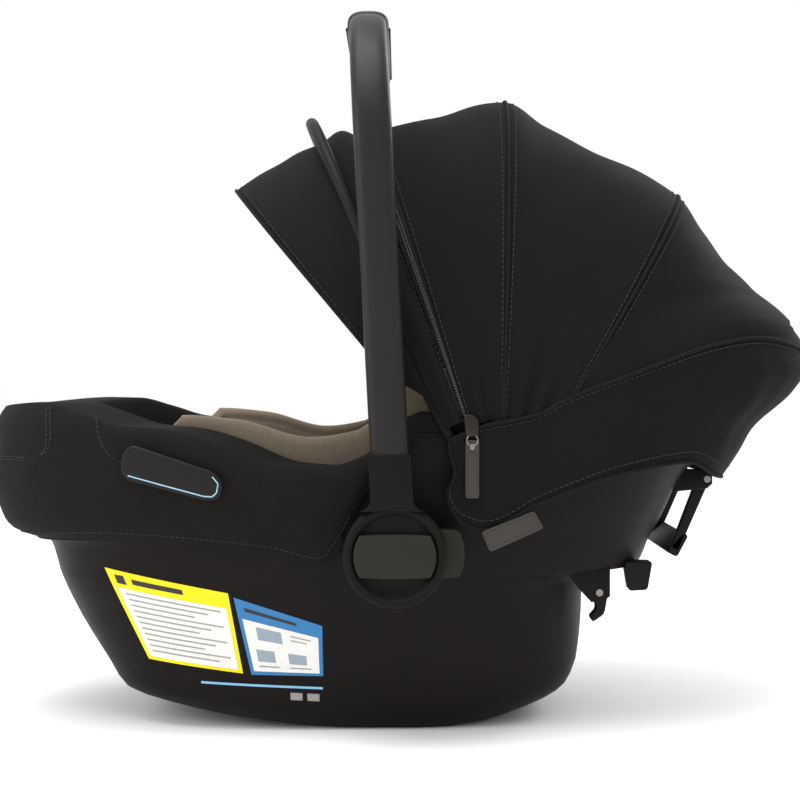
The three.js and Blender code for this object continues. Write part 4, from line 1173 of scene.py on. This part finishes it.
apron_path = resample(on_ring(APRON_LEVELS, np.linspace(-WRAP, WRAP, 4000), np.full(4000, 240.0)), 181)
apron_turn = np.arctan2(
    signed_power(
        apron_path[:, 1] / 197.7, PLAN_POWER / 2
    ), signed_power(apron_path[:, 0] / 300.4, PLAN_POWER / 2)
)
foot = height_at(APRON_HEM, APRON_LEVELS, apron_turn)
head = height_at(APRON_SEAM, APRON_LEVELS, apron_turn) + 0.5
rows = [on_ring(APRON_LEVELS, apron_turn, foot + (head - foot) * k) for k in np.linspace(0, 1, 25)]
points = np.array(rows)
drape = bulges(points.shape, (0.9, 7, 0.4, 0.5), (0.6, 13, 0.7, 1.4), (0.4, 23, 1.1, 0.2))
gathers = np.sin(math.pi * np.linspace(0, 1, 25)[:, None]) ** 0.6
points = push(points, drape * gathers, (0, 0, 240))
front = np.exp(-((points[..., 2] - 219) / 13) ** 2 - np.maximum(points[..., 0] - 38, 0) / 12)
points[..., 0] += 6 * front
bm = bmesh.new()
add_surface(bm, points)
apron = piece(
    "apron_cloth", bm, canopy_cloth, "shell", ["canopy_apron"], centre=(0, 0, 240)
)
thicken(apron, 1.8)
bm = bmesh.new()
add_tube(bm, points[-1], 1.8, 8)
add_tube(bm, points[0], 1.6, 8)
for row in (0, -1):
    add_tube(bm, points[:, row], 1.3, 8)
piece("apron_piping", bm, piping, "shell", closed=True)
bm = bmesh.new()
raised = push(points, 0.3 + 0 * points[..., 0], (0, 0, 240))
add_stitches(bm, raised[2], 3.2, 1.5, 0.4)
add_stitches(bm, raised[-2], 3.2, 1.5, 0.4)
piece("apron_stitching", bm, thread, "shell", closed=True)

# ==== LEATHER TAG AND ZIP PULL ====
# Soft synthetic leather, pebble grained and edge stitched. The pull hangs from a steel ring on a
# black nickel slider.

LEATHER_BROWN = "#3b332e"
leather, leather_tree, leather_shader = new_material("synthetic leather")
leather_place = put(leather_tree, "ShaderNodeTexCoord").outputs["Object"]
pebble = put(
    leather_tree, "ShaderNodeTexVoronoi", {"Vector": leather_place, "Scale": 900.0}
).outputs["Distance"]
patina = put(
    leather_tree, "ShaderNodeTexNoise", {"Vector": leather_place, "Scale": 90.0, "Detail": 5.0}
).outputs[0]
leather_tree.links.new(
    mixed(
        leather_tree, patina, shade(LEATHER_BROWN, 0.3), shade(LEATHER_BROWN, 0.6)
    ), leather_shader.inputs["Base Color"]
)
leather_bump = put(
    leather_tree, "ShaderNodeBump", {"Height": pebble, "Distance": 0.12 * MM, "Strength": 0.7}
)
leather_tree.links.new(leather_bump.outputs[0], leather_shader.inputs["Normal"])
leather_tree.links.new(spread(leather_tree, patina, 0.42, 0.62), leather_shader.inputs["Roughness"])

tag_outline = [(64, 173.5), (106, 190), (113.5, 176.5), (71, 157.5)]
bm = bmesh.new()
add_plate(bm, rounded_outline(tag_outline, 2.5, 4), -199.0, -200.5, 0.4)
sharpen(piece("leather_tag_grained", bm, leather, "shell", ["leather_tag"], closed=True))
bm = bmesh.new()
inner = [(66.5, 172.3), (104.6, 187.4), (110.4, 177.2), (72.2, 160.9), (66.5, 172.3)]
add_stitches(bm, resample([(x, -200.5, z) for x, z in inner], 90), 2.4, 1.2, 0.32)
piece("leather_tag_stitching", bm, thread, "shell", closed=True)

bm = bmesh.new()
add_plate(bm, rounded(51.5, 62.5, 200, 246, 2.5), -199.0, -200.6, 0.4)
sharpen(piece("zip_pull_leather", bm, leather, "zipper_pull", ["zipper_pull"], closed=True))
bm = bmesh.new()
loop = [(53, 202), (61, 202), (61, 236), (53, 236), (53, 202)]
add_stitches(bm, resample([(x, -200.6, z) for x, z in loop], 90), 2.2, 1.1, 0.3)
piece("zip_pull_stitching", bm, thread, "zipper_pull", closed=True)
bm = bmesh.new()
ring_turn = np.linspace(0, 2 * math.pi, 33)[:-1]
add_tube(
    bm, np.stack([57 + 4.4 * np.cos(ring_turn), np.full(32, -200.4), 246 + 4.4 * np.sin(ring_turn)], -1),
    0.8, 8, True
)
add_plate(
    bm, [(57 + 2.2 * math.cos(a), 240.5 + 2.2 * math.sin(a)) for a in ring_turn[::2]], -200.2, -201.1, 0.4
)
piece("zip_pull_ring", bm, steel, "zipper_pull", closed=True)
dark_metal, _, dark_shader = new_material("black nickel")
dark_shader.inputs["Base Color"].default_value = linear("#34312f")
dark_shader.inputs["Metallic"].default_value = 1.0
dark_shader.inputs["Roughness"].default_value = 0.34
bm = bmesh.new()
add_plate(
    bm, rounded_outline([(52, 249), (62, 249), (62, 262), (58, 266), (50, 266)], 2, 4), -199.0, -201.2, 0.6
)
sharpen(piece("zip_slider_body", bm, dark_metal, "zipper_slider", ["zipper_slider"], closed=True))

# ==== REAR RELEASE LEVER, HOOKS AND LUGS ====
# Glass-filled nylon mouldings at the back: the lever under the ledge, the hooks that hold the carrier to
# a stroller or car base, and the two lugs that locate it.

lever = [
    ("release_lever", "release_lever", "lever_solid", [
        ([(262, 214), (272, 210), (243, 143), (236, 146)], -62, -54),
        ([(262, 214), (272, 210), (243, 143), (236, 146)], 54, 62),
        ([(247, 160), (252, 157), (242, 138), (232, 143)], -62, 62),
    ]),
]
hook = [(160, 118), (168, 122), (176, 112), (173, 95), (163, 88), (160, 93), (166, 99), (164, 109)]
lug = [(189, 140), (193, 115), (209, 116), (213, 140)]
for side, name in ((-1, "left"), (1, "right")):
    lever.append(("latch_hook_" + name, "latch", "hook_" + name, [(hook, side * 96, side * 108)]))
    lever.append(("rear_lug_" + name, "shell", "lug_" + name, [(lug, side * 94, side * 112)]))
for node, body, name, plates in lever:
    bm = bmesh.new()
    for outline, y0, y1 in plates:
        add_plate(bm, rounded_outline(outline, 3, 4), y0, y1, 1.0)
    sharpen(piece(name, bm, black_plastic, body, [node], closed=True), 40)

# ==== STAGE ====
# A plain white floor under soft light: a bright even surround, a broad overhead lamp and a low front
# lamp. The camera stands level with the seat at its near side.

floor_white, _, floor_shader = new_material("white floor")
floor_shader.inputs["Base Color"].default_value = linear("#ffffff")
floor_shader.inputs["Roughness"].default_value = 0.9
floor_shader.inputs["Specular IOR Level"].default_value = 0.1
bm = bmesh.new()
bmesh.ops.create_grid(bm, x_segments=1, y_segments=1, size=40)
floor = piece("floor", bm, floor_white, None, inward=False, centre=(0, 0, -1000))
floor.location.z = -0.0005

scene = bpy.context.scene
world = bpy.data.worlds.new("white surround")
scene.world = world
world.use_nodes = True
world.node_tree.nodes["Background"].inputs["Color"].default_value = (1, 1, 1, 1)
world.node_tree.nodes["Background"].inputs["Strength"].default_value = 1.0
for name, place, aim, size, power in (
    ("overhead lamp", (-0.3, -0.5, 2.0), (0, 0, 0.25), 1.5, 34),
    ("back lamp", (1.4, 1.2, 1.3), (0.1, 0, 0.3), 1.0, 16),
    ("left lamp", (-1.8, -0.9, 0.9), (0, 0, 0.25), 0.9, 12),
):
    lamp = bpy.data.lights.new(name, "AREA")
    lamp.shape = "SQUARE"
    lamp.size = size
    lamp.energy = power
    holder = bpy.data.objects.new(name, lamp)
    holder.location = place
    holder.rotation_euler = (Vector(aim) - Vector(place)).to_track_quat("-Z", "Y").to_euler()
    scene.collection.objects.link(holder)

LENS_MM = 74.25
CAMERA_AWAY = 1.5
CAMERA_HEIGHT = 0.299
CAMERA_DIP = 0.94  # degrees below level

camera_data = bpy.data.cameras.new("camera")
camera_data.sensor_width = 36
camera_data.lens = LENS_MM
camera = bpy.data.objects.new("camera", camera_data)
camera.location = (0, -CAMERA_AWAY, CAMERA_HEIGHT)
camera.rotation_euler = (math.radians(90 - CAMERA_DIP), 0, 0)
scene.collection.objects.link(camera)
scene.camera = camera
scene.view_settings.view_transform = "Standard"
